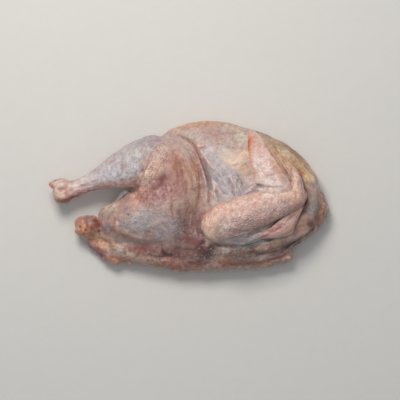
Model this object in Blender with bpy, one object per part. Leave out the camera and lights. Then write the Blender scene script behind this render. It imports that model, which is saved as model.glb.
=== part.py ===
"""Half turkey, raw and oven ready, sawn along its backbone and keel.

It lies on the sawn side with the skin up. The hock points to -X, the neck end to +X, the keel is the
+Y edge and the backbone the -Y edge. It is one solid: each muscle or limb is a closed shell lofted
along its own bone line, and a voxel remesh grows the shells together, as one skin covers them all.
"""

from dataclasses import dataclass
from math import cos, pi, sin

import bmesh
import bpy
import numpy as np

MM = 0.001

# Driving dimensions, in millimetres, measured with the bird on its sawn side.
FLANK_LEVEL = 19  # height at which the trunk's flanks stand out furthest
HOCK_LEVEL = 30  # height of the shank's centre over the board
KNEE_LEVEL = 52  # height of the knee's centre
WING_LEVEL = 77  # height of the folded forearm's centre

RING_POINTS = 40  # points round each section of a shell
STEPS = 7  # sections between two stations
CAP_RINGS = 5  # sections that round off a shell's end

GROWTH_VOXEL = 2.6  # the remesh that grows the shells together
SKIN_PASSES = 6  # smoothing passes, which draw the skin over the joins
KEPT_SHARE = 0.07  # share of the remeshed faces that the solid keeps

SKIN_COLOUR = (0.62, 0.43, 0.37, 1.0)
SKIN_ROUGHNESS = 0.42


@dataclass
class Station:
    """One section of a shell: its centre, its half width and its half height, in millimetres."""

    x: float
    y: float
    z: float
    wide: float
    high: float

    def row(self):
        """The five sizes as a list, ready to be interpolated."""
        return [self.x, self.y, self.z, self.wide, self.high]


def trunk_station(x, back, keel, top, level=FLANK_LEVEL):
    """A section of the trunk at x, from the back's edge to the keel's edge, and up to its top."""
    return Station(x, (back + keel) / 2, level, (keel - back) / 2, top - level)


# Breast, rib cage and belly. The sections stand square to X.
TRUNK = [
    trunk_station(-120, -66, -17, 34, 14),
    trunk_station(-107, -84, -6, 44),
    trunk_station(-86, -93, 14, 50),
    trunk_station(-60, -97, 52, 56),
    trunk_station(-34, -100, 91, 61),
    trunk_station(0, -106, 108, 70),
    trunk_station(40, -103, 111, 80),
    trunk_station(80, -100, 103.5, 84),
    trunk_station(115, -93, 91, 80),
    trunk_station(145, -78, 76, 70),
    trunk_station(168, -64, 58, 60),
    trunk_station(184, -54, 34, 50, 16),
    trunk_station(192, -43, 7, 41, 14),
]

DRUMSTICK = [
    Station(-191, 7.5, HOCK_LEVEL, 17.5, 16),
    Station(-180, 8.5, HOCK_LEVEL, 18, 16),
    Station(-168, 11.5, HOCK_LEVEL, 13.5, 13),
    Station(-150, 17.5, HOCK_LEVEL + 3, 12.5, 12.5),
    Station(-125, 28, HOCK_LEVEL + 9, 17, 17),
    Station(-98, 38.5, HOCK_LEVEL + 16, 26, 25),
    Station(-72, 46.5, KNEE_LEVEL - 2, 33.5, 32),
    Station(-50, 52.5, KNEE_LEVEL, 37, 35),
]

THIGH = [
    Station(-44, 53, KNEE_LEVEL, 36.5, 34),
    Station(-33, 28, KNEE_LEVEL - 1, 41, 37),
    Station(-26, 0, KNEE_LEVEL - 5, 43, 37),
    Station(-28, -32, KNEE_LEVEL - 14, 46, 34),
    Station(-36, -60, KNEE_LEVEL - 26, 44, 30),
]

# The skin that is drawn tight from the knee towards the shoulder, along the thigh's front edge.
FLANK = [
    Station(-22, 70, KNEE_LEVEL - 6, 15, 24),
    Station(-1, 52, KNEE_LEVEL - 1, 14, 26),
    Station(15, 22, KNEE_LEVEL + 3, 13, 25),
    Station(22, -12, KNEE_LEVEL - 2, 14, 24),
    Station(16, -44, KNEE_LEVEL - 14, 16, 24),
]

RUMP = [
    Station(-98, -42, 22, 30, 36),
    Station(-70, -36, 24, 40, 44),
    Station(-38, -36, 26, 44, 45),
    Station(0, -44, 24, 44, 38),
]

BACK = [
    Station(-136, -65, 10, 12, 14),
    Station(-112, -78, 13, 15.5, 18),
    Station(-78, -81, 16, 16, 22),
    Station(-40, -86, 18, 17, 24),
    Station(0, -91, 18, 18, 24),
    Station(70, -90, 17, 16, 23),
    Station(139, -82, 14, 16, 18),
]

TAIL = [
    Station(-116, -46, 21, 18, 15),
    Station(-131, -46, 20, 16, 15),
    Station(-147, -44.5, 20, 18.5, 17),
    Station(-156, -44.5, 19, 17, 15),
]

NECK_ROLL = [
    Station(174, 30, 26, 12, 20),
    Station(181, 2, 25, 14, 22),
    Station(181, -22, 23, 15, 20),
    Station(168, -46, 20, 14, 18),
]

FOREARM = [
    Station(43, -37, WING_LEVEL - 16, 24.5, 25),
    Station(62, -32, WING_LEVEL - 6, 27.5, 26),
    Station(92, -21, WING_LEVEL, 26.5, 25),
    Station(122, -13, WING_LEVEL - 1, 23, 22),
    Station(150, -3, WING_LEVEL - 6, 18, 19),
    Station(158, 1, WING_LEVEL - 9, 14, 17),
]

UPPER_ARM = [
    Station(48, -54, WING_LEVEL - 26, 13, 20),
    Station(82, -54, WING_LEVEL - 21, 12, 19),
    Station(116, -52, WING_LEVEL - 21, 9, 17),
    Station(144, -46, WING_LEVEL - 22, 10, 16),
]

# The web of skin between the shoulder and the wrist.
WING_WEB = [
    Station(112, -53, WING_LEVEL - 15, 6, 7),
    Station(132, -46, WING_LEVEL - 11, 13, 8),
    Station(151, -38, WING_LEVEL - 11, 19, 8),
    Station(157, -36, WING_LEVEL - 12, 19, 7),
]

THUMB = [
    Station(158, 4, WING_LEVEL - 4, 12, 13),
    Station(157, 22, WING_LEVEL - 7, 9, 10),
    Station(155, 36, WING_LEVEL - 13, 5, 7),
]

HAND = [
    Station(128, 8, WING_LEVEL + 2, 22, 10),
    Station(120, 28, WING_LEVEL + 3, 22, 9),
    Station(111, 49, WING_LEVEL - 2, 19, 9),
    Station(103, 69, WING_LEVEL - 11, 14, 8),
    Station(98, 83, WING_LEVEL - 22, 9, 7),
    Station(94, 91, WING_LEVEL - 32, 6, 6),
]

# How far a shell's two ends reach past their last stations, as a share of the smaller radius there.
ROUND_ENDS = (1.0, 1.0)
BLUNT_ENDS = (0.45, 0.45)
BLUNT_START = (0.45, 1.0)
BLUNT_TIP = (1.0, 0.5)


def sections(stations):
    """Sections along a shell: the stations' five sizes on one smooth curve through all of them."""
    rows = np.array([station.row() for station in stations], float)
    before, after = 2 * rows[0] - rows[1], 2 * rows[-1] - rows[-2]
    rows = np.vstack([before, rows, after])
    found = []
    for a, b, c, d in zip(rows, rows[1:], rows[2:], rows[3:]):
        for step in range(STEPS):
            t = step / STEPS
            curve = 2 * b + (c - a) * t + (2 * a - 5 * b + 4 * c - d) * t**2
            found.append((curve + (3 * b - a - 3 * c + d) * t**3) / 2)
    found.append(rows[-2])
    return np.array(found)


def frames(centres, square):
    """The direction along the shell, across it and up from it at each section."""
    if square:
        along = np.tile([1.0, 0.0, 0.0], (len(centres), 1))
    else:
        along = np.gradient(centres, axis=0)
        along /= np.linalg.norm(along, axis=1)[:, None]
    across = np.cross([0.0, 0.0, 1.0], along)
    across /= np.linalg.norm(across, axis=1)[:, None]
    return along, across, np.cross(along, across)


def ring(mesh, centre, across, up, wide, high):
    """One closed ring of points, an ellipse in the plane of across and up."""
    points = []
    for k in range(RING_POINTS):
        turn = 2 * pi * k / RING_POINTS
        point = centre + across * (wide * cos(turn)) + up * (high * sin(turn))
        points.append(mesh.verts.new(point * MM))
    return points


def shell(mesh, stations, square=False, ends=ROUND_ENDS):
    """A closed shell through the stations, its two ends rounded off as half an ellipsoid."""
    rows = sections(stations)
    along, across, up = frames(rows[:, :3], square)
    turns = [pi / 2 * k / CAP_RINGS for k in range(CAP_RINGS - 1, 0, -1)]
    rings = []
    for end, sense, roundness in ((0, -1, ends[0]), (-1, 1, ends[1])):
        reach = min(rows[end, 3], rows[end, 4]) * sense * roundness
        cap = [
            ring(
                mesh,
                rows[end, :3] + along[end] * (reach * sin(turn)),
                across[end],
                up[end],
                rows[end, 3] * cos(turn),
                rows[end, 4] * cos(turn),
            )
            for turn in turns
        ]
        if end == 0:
            rings += cap
            for centre, side, top, row in zip(rows[:, :3], across, up, rows):
                rings.append(ring(mesh, centre, side, top, row[3], row[4]))
        else:
            rings += cap[::-1]
    for one, other in zip(rings, rings[1:]):
        for k in range(RING_POINTS):
            following = (k + 1) % RING_POINTS
            mesh.faces.new((one[k], one[following], other[following], other[k]))
    mesh.faces.new(rings[0])
    mesh.faces.new(rings[-1][::-1])


def skin_material():
    """Raw poultry skin: pale pink, moist and a little glossy."""
    material = bpy.data.materials.new("raw_skin")
    material.use_nodes = True
    shader = material.node_tree.nodes["Principled BSDF"]
    shader.inputs["Base Color"].default_value = SKIN_COLOUR
    shader.inputs["Roughness"].default_value = SKIN_ROUGHNESS
    shader.inputs["Metallic"].default_value = 0.0
    return material


def saw_block():
    """The block below the sawn plane, which leaves the bird its flat side."""
    bpy.ops.mesh.primitive_cube_add(size=1, location=(0, 0, -0.05))
    block = bpy.context.active_object
    block.name = "saw_block"
    block.scale = (0.6, 0.4, 0.1)
    block.hide_render = True
    block.display_type = "WIRE"
    return block


def half_turkey():
    """The whole half bird as one object, its shells grown together and sawn flat."""
    mesh = bmesh.new()
    shell(mesh, TRUNK, square=True, ends=BLUNT_ENDS)
    shell(mesh, DRUMSTICK, ends=BLUNT_START)
    shell(mesh, TAIL, ends=BLUNT_TIP)
    for stations in (THIGH, FLANK, RUMP, BACK, NECK_ROLL):
        shell(mesh, stations)
    for stations in (FOREARM, UPPER_ARM, WING_WEB, THUMB, HAND):
        shell(mesh, stations)
    bmesh.ops.recalc_face_normals(mesh, faces=mesh.faces)
    data = bpy.data.meshes.new("half_turkey")
    mesh.to_mesh(data)
    mesh.free()
    bird = bpy.data.objects.new("half_turkey", data)
    bpy.context.scene.collection.objects.link(bird)
    data.materials.append(skin_material())

    growth = bird.modifiers.new("growth", "REMESH")
    growth.mode = "VOXEL"
    growth.voxel_size = GROWTH_VOXEL * MM
    growth.use_smooth_shade = True
    skin = bird.modifiers.new("skin", "SMOOTH")
    skin.factor = 0.5
    skin.iterations = SKIN_PASSES
    facets = bird.modifiers.new("facets", "DECIMATE")
    facets.ratio = KEPT_SHARE
    saw = bird.modifiers.new("saw", "BOOLEAN")
    saw.operation = "DIFFERENCE"
    saw.object = saw_block()
    return bird


def settle(bird):
    """Moves the bird so that the origin is under the middle of its box."""
    bpy.context.view_layer.update()
    graph = bpy.context.evaluated_depsgraph_get()
    corners = np.array(bird.evaluated_get(graph).bound_box)
    middle = (corners.min(axis=0) + corners.max(axis=0)) / 2
    bird.location = (-middle[0], -middle[1], 0)


def main():
    """Clears the scene and builds the bird."""
    for thing in list(bpy.data.objects):
        bpy.data.objects.remove(thing)
    settle(half_turkey())


main()
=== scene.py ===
"""The looks of a raw half turkey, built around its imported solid.

The bird lies on its sawn side with the skin up, hock towards -X and keel towards +Y. Its masses are
shells lofted along their bone lines and grown together by a voxel remesh. The skin is then worked
like clay, as whole arrays: relaxed, swollen, folded, wrinkled and pitted. Its tones are laid over one
another in the same way and handed to the material as attributes, and the material adds what is finer.

All shapes are given in millimetres on the bird's own plan, whose middle is the trunk's. The finished
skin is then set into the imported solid's box.
"""

import logging
from dataclasses import dataclass
from enum import Enum
from math import cos, pi, radians, sin

import bmesh
import bpy
import numpy as np
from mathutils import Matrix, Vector


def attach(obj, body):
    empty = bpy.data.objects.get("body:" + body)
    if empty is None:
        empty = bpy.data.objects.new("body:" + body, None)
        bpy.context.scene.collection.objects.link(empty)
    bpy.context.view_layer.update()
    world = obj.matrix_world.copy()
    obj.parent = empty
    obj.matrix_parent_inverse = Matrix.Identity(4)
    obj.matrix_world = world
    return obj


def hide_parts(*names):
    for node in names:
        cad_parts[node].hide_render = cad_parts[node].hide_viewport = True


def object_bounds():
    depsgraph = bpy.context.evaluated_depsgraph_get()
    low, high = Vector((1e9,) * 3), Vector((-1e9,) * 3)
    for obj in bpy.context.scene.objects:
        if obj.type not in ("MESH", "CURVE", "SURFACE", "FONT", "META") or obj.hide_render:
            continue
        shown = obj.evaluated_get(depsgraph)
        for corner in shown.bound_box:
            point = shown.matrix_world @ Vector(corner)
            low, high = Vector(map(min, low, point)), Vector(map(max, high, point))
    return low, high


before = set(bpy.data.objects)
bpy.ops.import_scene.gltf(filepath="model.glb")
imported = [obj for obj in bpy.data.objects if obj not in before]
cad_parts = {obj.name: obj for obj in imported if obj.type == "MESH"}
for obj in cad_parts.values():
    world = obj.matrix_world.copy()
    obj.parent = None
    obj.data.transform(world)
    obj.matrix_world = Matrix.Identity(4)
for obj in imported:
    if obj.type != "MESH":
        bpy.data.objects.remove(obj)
CAD_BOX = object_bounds()

LOG = logging.getLogger("half_turkey")
MM = 0.001
NODE = "half_turkey"
BODY = "root"
MOST_TRIANGLES = 196000

Path = tuple[tuple[float, ...], ...]


# ---------------------------------------------------------------- colours, noise and lines


def linear(colour: str) -> np.ndarray:
    """Turns an sRGB hex colour into linear light.

    Args:
        colour: Six hex digits after a hash sign.

    Returns:
        Red, green and blue in linear light.
    """
    code = np.array([int(colour[k : k + 2], 16) for k in (1, 3, 5)]) / 255
    return np.where(code <= 0.04045, code / 12.92, ((code + 0.055) / 1.055) ** 2.4)


def rgba(colour: str) -> tuple[float, ...]:
    """Gives an sRGB hex colour as a linear, opaque colour for a socket."""
    return (*linear(colour), 1.0)


def ease(low: float, high: float, value: np.ndarray) -> np.ndarray:
    """Rises smoothly from 0 at low to 1 at high, as 3t^2 - 2t^3.

    Args:
        low: Where the rise starts.
        high: Where the rise ends; below low it turns the rise into a fall.
        value: The values to read the curve at.

    Returns:
        The curve's height at each value.
    """
    t = np.clip((value - low) / (high - low), 0, 1)
    return t * t * (3 - 2 * t)


class Lattice:
    """A cubic lattice with a random vector at each corner, which repeats every 256 cells."""

    def __init__(self, seed: int) -> None:
        """Draws the vectors.

        Args:
            seed: Picks them.
        """
        rng = np.random.RandomState(seed)
        self.vectors = rng.normal(size=(256, 3))
        self.vectors /= np.linalg.norm(self.vectors, axis=1)[:, None]
        self.order = np.tile(rng.permutation(256), 2)

    def at(self, corners: np.ndarray) -> np.ndarray:
        """Gives the vectors of some corners.

        Args:
            corners: Whole lattice coordinates, one row each.

        Returns:
            One unit vector for each corner.
        """
        at = corners & 255
        return self.vectors[self.order[self.order[self.order[at[:, 0]] + at[:, 1]] + at[:, 2]]]


def lattice_noise(points: np.ndarray, cell: float, seed: int) -> np.ndarray:
    """Gradient noise, about -1 to 1.

    The value at a point is the dot product of a corner's vector with the way from that corner, blended
    over the eight corners round the point by the curve 6t^5 - 15t^4 + 10t^3 along each axis.

    Args:
        points: Places, one row each.
        cell: The lattice's pitch, in the points' unit.
        seed: Picks the vectors.

    Returns:
        One value for each point.
    """
    lattice = Lattice(seed)
    scaled = points / cell
    base = np.floor(scaled).astype(int)
    local = scaled - base
    curve = local**3 * (local * (local * 6 - 15) + 10)
    total = np.zeros(len(points))
    for corner in np.ndindex(2, 2, 2):
        share = np.prod(np.where(np.array(corner) == 1, curve, 1 - curve), axis=1)
        total += share * ((local - corner) * lattice.at(base + corner)).sum(axis=1)
    return total * 1.6


def layered_noise(points: np.ndarray, cell: float, seed: int, layers: int = 3) -> np.ndarray:
    """Adds up noise layers, each with half the cell and half the height of the one before.

    Args:
        points: Places, one row each.
        cell: The first layer's pitch.
        seed: Picks the first layer; the next ones count on from it.
        layers: How many layers are added.

    Returns:
        One value for each point.
    """
    total = np.zeros(len(points))
    for layer in range(layers):
        total += lattice_noise(points, cell / 2**layer, seed + layer) / 2**layer
    return total


def cell_gap(points: np.ndarray, cell: float, seed: int, stray: float = 0.42) -> np.ndarray:
    """Measures how far points are from the borders of random cells.

    Each lattice cell holds one seed point, moved off the cell's middle by its vector times stray. The
    gap is the distance to the second nearest seed point less that to the nearest.

    Args:
        points: Places, one row each.
        cell: The cells' pitch, in the points' unit.
        seed: Picks the cells.
        stray: How far the seed points stray, as a share of the pitch.

    Returns:
        The gap in pitches, 0 on a border and up to about 1 in a cell's middle.
    """
    lattice = Lattice(seed)
    scaled = points / cell
    base = np.floor(scaled).astype(int)
    nearest = np.full(len(points), 9.0)
    second = nearest.copy()
    for step in np.ndindex(3, 3, 3):
        corner = base + np.array(step) - 1
        far = np.linalg.norm(corner + 0.5 + lattice.at(corner) * stray - scaled, axis=1)
        second = np.minimum(second, np.maximum(nearest, far))
        nearest = np.minimum(nearest, far)
    return second - nearest


def smooth_line(corners: np.ndarray, steps: int) -> np.ndarray:
    """Draws a smooth curve through all corners, as a Catmull-Rom spline.

    Between corners b and c, with a before and d after, the curve is half of
    2b + (c-a)t + (2a-5b+4c-d)t^2 + (3b-a-3c+d)t^3, for t from 0 to 1.

    Args:
        corners: The points to pass through, one row each, of any width.
        steps: Points on each stretch between two corners.

    Returns:
        The curve's points, one row each, ends included.
    """
    ends = np.vstack([2 * corners[0] - corners[1], corners, 2 * corners[-1] - corners[-2]])
    a, b, c, d = (ends[k : len(ends) - 3 + k, None] for k in range(4))
    t = (np.arange(steps) / steps)[None, :, None]
    curve = 2 * b + (c - a) * t + (2 * a - 5 * b + 4 * c - d) * t**2 + (3 * b - a - 3 * c + d) * t**3
    return np.vstack([(curve / 2).reshape(-1, corners.shape[1]), corners[-1:]])


def even_line(corners: Path, count: int) -> np.ndarray:
    """Gives points at even distances on the smooth curve through corners.

    Args:
        corners: The points to pass through.
        count: How many points to give.

    Returns:
        The points, ends included.
    """
    line = smooth_line(np.array(corners, float), 12)
    run = np.concatenate([[0], np.cumsum(np.linalg.norm(np.diff(line, axis=0), axis=1))])
    places = np.linspace(0, run[-1], count)
    return np.column_stack([np.interp(places, run, column) for column in line.T])


def turned(points: np.ndarray, x: float, y: float, turn: float) -> tuple[np.ndarray, np.ndarray]:
    """Measures points along and across a turned pair of axes in plan.

    Args:
        points: Places, one row each.
        x: The axes' own middle.
        y: The axes' own middle.
        turn: Degrees from +X to the first axis, counter-clockwise.

    Returns:
        The distance along the first axis and along the second one.
    """
    dx, dy = points[:, 0] - x, points[:, 1] - y
    c, s = cos(radians(turn)), sin(radians(turn))
    return dx * c + dy * s, dy * c - dx * s


# ---------------------------------------------------------------- shells along bone lines

RING_POINTS = 64
SHELL_STEPS = 10
CAP_RINGS = 8


@dataclass(frozen=True)
class Station:
    """One section of a shell: its centre, its half width and its half height, in millimetres."""

    x: float
    y: float
    z: float
    wide: float
    high: float


def trunk_station(x: float, back: float, keel: float, top: float, level: float = 19) -> Station:
    """Gives the trunk's section at x, between its back's edge and its keel's edge.

    Args:
        x: The section's place.
        back: The back's edge, at -Y.
        keel: The keel's edge, at +Y.
        top: The section's highest point.
        level: The height at which the section is widest.

    Returns:
        The station with those edges.
    """
    return Station(x, (back + keel) / 2, level, (keel - back) / 2, top - level)


@dataclass(frozen=True)
class Shell:
    """A closed shell through stations, whose two ends are rounded off.

    Attributes:
        stations: The sections, in order.
        ends: How far each end reaches past its last section, as a share of the radius there.
        square: Whether the sections stay square to X.
        boxy: The exponent of a section's outline, 2 for an ellipse and more for a fuller one.
    """

    stations: tuple[Station, ...]
    ends: tuple[float, float] = (1.0, 1.0)
    square: bool = False
    boxy: float = 2.0

    def grid(self) -> np.ndarray:
        """Works out the shell's points as rings along its line.

        A ring's point at the angle a is the centre plus across times width times cos(a) and up times
        height times sin(a), each with its power 2 / boxy. An end's rings shrink as cos(u) while they
        move on by the reach times sin(u).

        Returns:
            Points, one row of RING_POINTS for each ring.
        """
        corners = np.array([[s.x, s.y, s.z, s.wide, s.high] for s in self.stations], float)
        rows = smooth_line(corners, SHELL_STEPS)
        along = np.gradient(rows[:, :3], axis=0)
        if self.square:
            along = np.tile([1.0, 0.0, 0.0], (len(rows), 1))
        along /= np.linalg.norm(along, axis=1)[:, None]
        across = np.cross([0.0, 0.0, 1.0], along)
        across /= np.linalg.norm(across, axis=1)[:, None]
        up = np.cross(along, across)

        u = np.linspace(0, pi / 2, CAP_RINGS + 1)[1:] * 0.985
        first, last = (min(rows[k, 3], rows[k, 4]) * share for k, share in zip((0, -1), self.ends))
        middle = np.vstack([
            rows[0, :3] - along[0] * (first * np.sin(u[::-1, None])),
            rows[:, :3],
            rows[-1, :3] + along[-1] * (last * np.sin(u[:, None])),
        ])
        shrink = np.concatenate([np.cos(u[::-1]), np.ones(len(rows)), np.cos(u)])[:, None, None]
        pick = np.clip(np.arange(len(middle)) - CAP_RINGS, 0, len(rows) - 1)
        a = np.arange(RING_POINTS) * 2 * pi / RING_POINTS
        side = np.sign(np.cos(a)) * np.abs(np.cos(a)) ** (2 / self.boxy)
        rise = np.sign(np.sin(a)) * np.abs(np.sin(a)) ** (2 / self.boxy)
        wide = across[pick][:, None] * rows[pick, 3][:, None, None] * side[None, :, None]
        high = up[pick][:, None] * rows[pick, 4][:, None, None] * rise[None, :, None]
        return middle[:, None] + (wide + high) * shrink


def joined_shells(shells: list[Shell]) -> tuple[np.ndarray, list[list[int]]]:
    """Turns shells into points and faces, each shell closed by a face at either end.

    Args:
        shells: The shells to build.

    Returns:
        All points, and each face's points in order.
    """
    points, faces, count = [], [], 0
    for shell in shells:
        grid = shell.grid()
        rings = len(grid)
        index = count + np.arange(rings * RING_POINTS).reshape(rings, RING_POINTS)
        after = np.roll(index, -1, axis=1)
        quads = np.stack([index[:-1], after[:-1], after[1:], index[1:]], axis=-1).reshape(-1, 4)
        faces += quads.tolist()
        faces += [index[0, ::-1].tolist(), index[-1].tolist()]
        points.append(grid.reshape(-1, 3))
        count += rings * RING_POINTS
    return np.vstack(points), faces


# ---------------------------------------------------------------- a surface worked as arrays


class Surface:
    """A closed mesh whose points are worked on as whole arrays, in millimetres."""

    def __init__(self, mesh: bpy.types.Mesh, floor: bool = False) -> None:
        """Reads a mesh.

        Args:
            mesh: The mesh to work on, in millimetres.
            floor: Whether its lowest points lie on the board and stay there.
        """
        self.mesh = mesh
        count = len(mesh.vertices)
        flat = np.empty(count * 3)
        mesh.vertices.foreach_get("co", flat)
        self.points = flat.reshape(-1, 3)
        pairs = np.empty(len(mesh.edges) * 2, int)
        mesh.edges.foreach_get("vertices", pairs)
        self.pairs = pairs.reshape(-1, 2)
        self.valence = np.bincount(pairs, minlength=count)
        self.base = (self.points[:, 2] < self.points[:, 2].min() + 0.05) & floor

    @staticmethod
    def grown(name: str, shells: list[Shell], voxel: float, saw: float, floor: bool) -> "Surface":
        """Grows shells together into one skin and saws it off at a level.

        Args:
            name: The mesh's name.
            shells: The shells that make up the mass.
            voxel: The remesh's voxel, which is the skin's mesh size.
            saw: The height of the sawn plane.
            floor: Whether the sawn plane lies on the board.

        Returns:
            The skin as a surface, closed under the saw plane by one flat face.
        """
        points, faces = joined_shells(shells)
        rough = bpy.data.meshes.new(name + "_rough")
        rough.from_pydata(points.tolist(), [], faces)
        block = bpy.data.objects.new(name + "_rough", rough)
        bpy.context.scene.collection.objects.link(block)
        growth = block.modifiers.new("growth", "REMESH")
        growth.mode = "VOXEL"
        growth.voxel_size = voxel
        bpy.context.view_layer.update()
        evaluated = block.evaluated_get(bpy.context.evaluated_depsgraph_get())
        work = bmesh.new()
        work.from_mesh(evaluated.to_mesh())
        evaluated.to_mesh_clear()
        everything = list(work.verts) + list(work.edges) + list(work.faces)
        bmesh.ops.bisect_plane(
            work, geom=everything, plane_co=(0, 0, saw), plane_no=(0, 0, 1), clear_inner=True
        )
        bmesh.ops.holes_fill(work, edges=[e for e in work.edges if e.is_boundary], sides=0)
        mesh = bpy.data.meshes.new(name)
        work.to_mesh(mesh)
        work.free()
        bpy.data.objects.remove(block)
        bpy.data.meshes.remove(rough)
        return Surface(mesh, floor)

    def normals(self) -> np.ndarray:
        """Gives the outward direction at each point as it is now."""
        self.mesh.vertices.foreach_set("co", self.points.ravel())
        self.mesh.update()
        flat = np.empty(self.points.size)
        self.mesh.vertex_normals.foreach_get("vector", flat)
        return flat.reshape(-1, 3)

    def neighbour_mean(self, values: np.ndarray) -> np.ndarray:
        """Averages values over each point's neighbours.

        Args:
            values: One number or one row for each point.

        Returns:
            The neighbours' mean in the same form.
        """
        a, b = self.pairs.T
        columns = values.reshape(len(self.points), -1).T
        total = [
            np.bincount(a, column[b], len(self.points)) + np.bincount(b, column[a], len(self.points))
            for column in columns
        ]
        return (np.array(total) / self.valence).T.reshape(values.shape)

    def relax(self, passes: int, share: np.ndarray | float = 0.5) -> None:
        """Draws each point towards its neighbours' mean, which rounds off the joins.

        Args:
            passes: How often it is done.
            share: How much of the way a point goes, the same for all or one for each.
        """
        share = np.broadcast_to(share, len(self.points))[:, None]
        level = self.points[self.base, 2]
        for _ in range(passes):
            self.points += (self.neighbour_mean(self.points) - self.points) * share
            self.points[self.base, 2] = level

    def spread(self, values: np.ndarray, passes: int) -> np.ndarray:
        """Blurs one number for each point over the surface.

        Args:
            values: One number for each point.
            passes: How often neighbours are averaged.

        Returns:
            The blurred numbers.
        """
        for _ in range(passes):
            values = (values + self.neighbour_mean(values)) / 2
        return values

    def hollows(self, passes: int) -> np.ndarray:
        """Measures how far each point lies below its surroundings.

        Args:
            passes: How wide the surroundings are, in rounds of averaging.

        Returns:
            Depth in millimetres, positive in a hollow and negative on a ridge.
        """
        wide = self.points.copy()
        for _ in range(passes):
            wide += (self.neighbour_mean(wide) - wide) * 0.5
        return ((wide - self.points) * self.normals()).sum(axis=1)

    def push(self, heights: np.ndarray) -> None:
        """Moves each point along its own normal; the points on the board stay at its level.

        Args:
            heights: One distance for each point, in millimetres.
        """
        level = self.points[self.base, 2]
        self.points += self.normals() * heights[:, None]
        if len(level):
            self.points[:, 2] = np.maximum(self.points[:, 2], level[0])
            self.points[self.base, 2] = level

    def lifted(self, path: Path) -> np.ndarray:
        """Lays a path drawn in plan on the skin as seen from above.

        Args:
            path: The path's corners in plan; with heights as third numbers it is laid on the skin near it.

        Returns:
            The smooth path's points, on the skin.
        """
        line = smooth_line(np.array(path, float), 8)
        if line.shape[1] == 3:
            near = ((self.points > line.min(axis=0) - 9) & (self.points < line.max(axis=0) + 9)).all(axis=1)
            near = self.points[near]
            return near[((near[:, None] - line[None]) ** 2).sum(axis=2).argmin(axis=0)]
        low, high = line.min(axis=0) - 3, line.max(axis=0) + 3
        near = self.points[((self.points[:, :2] > low) & (self.points[:, :2] < high)).all(axis=1)]
        gap = ((near[:, None, :2] - line[None]) ** 2).sum(axis=2)
        heights = np.where(gap < 2.2**2, near[:, 2:], -1).max(axis=0)
        heights = np.where(heights < 0, near[gap.argmin(axis=0), 2], heights)
        return np.column_stack([line, heights])

    def from_path(self, line: np.ndarray, reach: float, flat: bool = False) -> tuple[np.ndarray, ...]:
        """Measures the points near a path from it.

        Args:
            line: The path's points.
            reach: How far from the path a point may be.
            flat: Whether heights don't count, as on a piece's edge seen from above.

        Returns:
            The near points' numbers, their distance, positive on the left of the path as seen from
            above, and their place along it from 0 to 1.
        """
        scale = np.array([1, 1, 0 if flat else 1])
        line, points = line * scale, self.points * scale
        low, high = line.min(axis=0) - reach, line.max(axis=0) + reach
        near = np.nonzero(((points > low) & (points < high)).all(axis=1))[0]
        start, step = line[:-1], np.diff(line, axis=0)
        length = np.maximum((step**2).sum(axis=1), 1e-6)
        way = points[near][:, None] - start[None]
        t = np.clip((way * step).sum(axis=2) / length, 0, 1)
        gap = way - t[..., None] * step
        far = (gap**2).sum(axis=2)
        best = far.argmin(axis=1)
        rows = np.arange(len(near))
        side = np.cross(step[best], gap[rows, best])[:, 2]
        place = (best + t[rows, best]) / len(step)
        return near, np.copysign(np.sqrt(far[rows, best]), side), place


# ---------------------------------------------------------------- what is worked into the skin


class Mark:
    """Something worked into a skin: a shape, a colour or both. Each kind is one of these."""

    colour: str

    def heights(self, surface: Surface) -> np.ndarray:
        """Gives how far the mark lifts each of the surface's points, in millimetres."""
        return np.zeros(len(surface.points))

    def cover(self, surface: Surface, ragged: np.ndarray) -> np.ndarray:
        """Gives how much of the ground the mark's colour covers at each point, 0 to 1."""
        return np.zeros(len(surface.points))


@dataclass(frozen=True)
class Oval(Mark):
    """A mark on an oval in plan.

    Attributes:
        x: Its middle.
        y: Its middle.
        long: Its radius along its own axis.
        wide: Its radius across it.
    """

    x: float
    y: float
    long: float
    wide: float


@dataclass(frozen=True)
class Bulge(Oval):
    """A soft swelling, or with a negative height a hollow, as height times e^-(r^2).

    Attributes:
        height: How far it stands out.
        turn: Degrees from +X to its axis.
        colour: The colour of its middle, or nothing.
        strength: How much of the ground that colour covers.
    """

    height: float
    turn: float = 0.0
    colour: str = ""
    strength: float = 0.5

    def shape(self, surface: Surface) -> np.ndarray:
        """Gives the swelling's shape at each of the surface's points, 1 in its middle."""
        u, v = turned(surface.points, self.x, self.y, self.turn)
        return np.exp(-((u / self.long) ** 2) - (v / self.wide) ** 2)

    def heights(self, surface: Surface) -> np.ndarray:
        """Gives the swelling's height at each of the surface's points."""
        return self.height * self.shape(surface)

    def cover(self, surface: Surface, ragged: np.ndarray) -> np.ndarray:
        """Gives the cover of the swelling's colour at each of the surface's points."""
        return self.strength * self.shape(surface)


class Form(Enum):
    """What a fold's section looks like."""

    GROOVE = "groove"
    RIDGE = "ridge"
    LAP = "lap"


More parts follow.
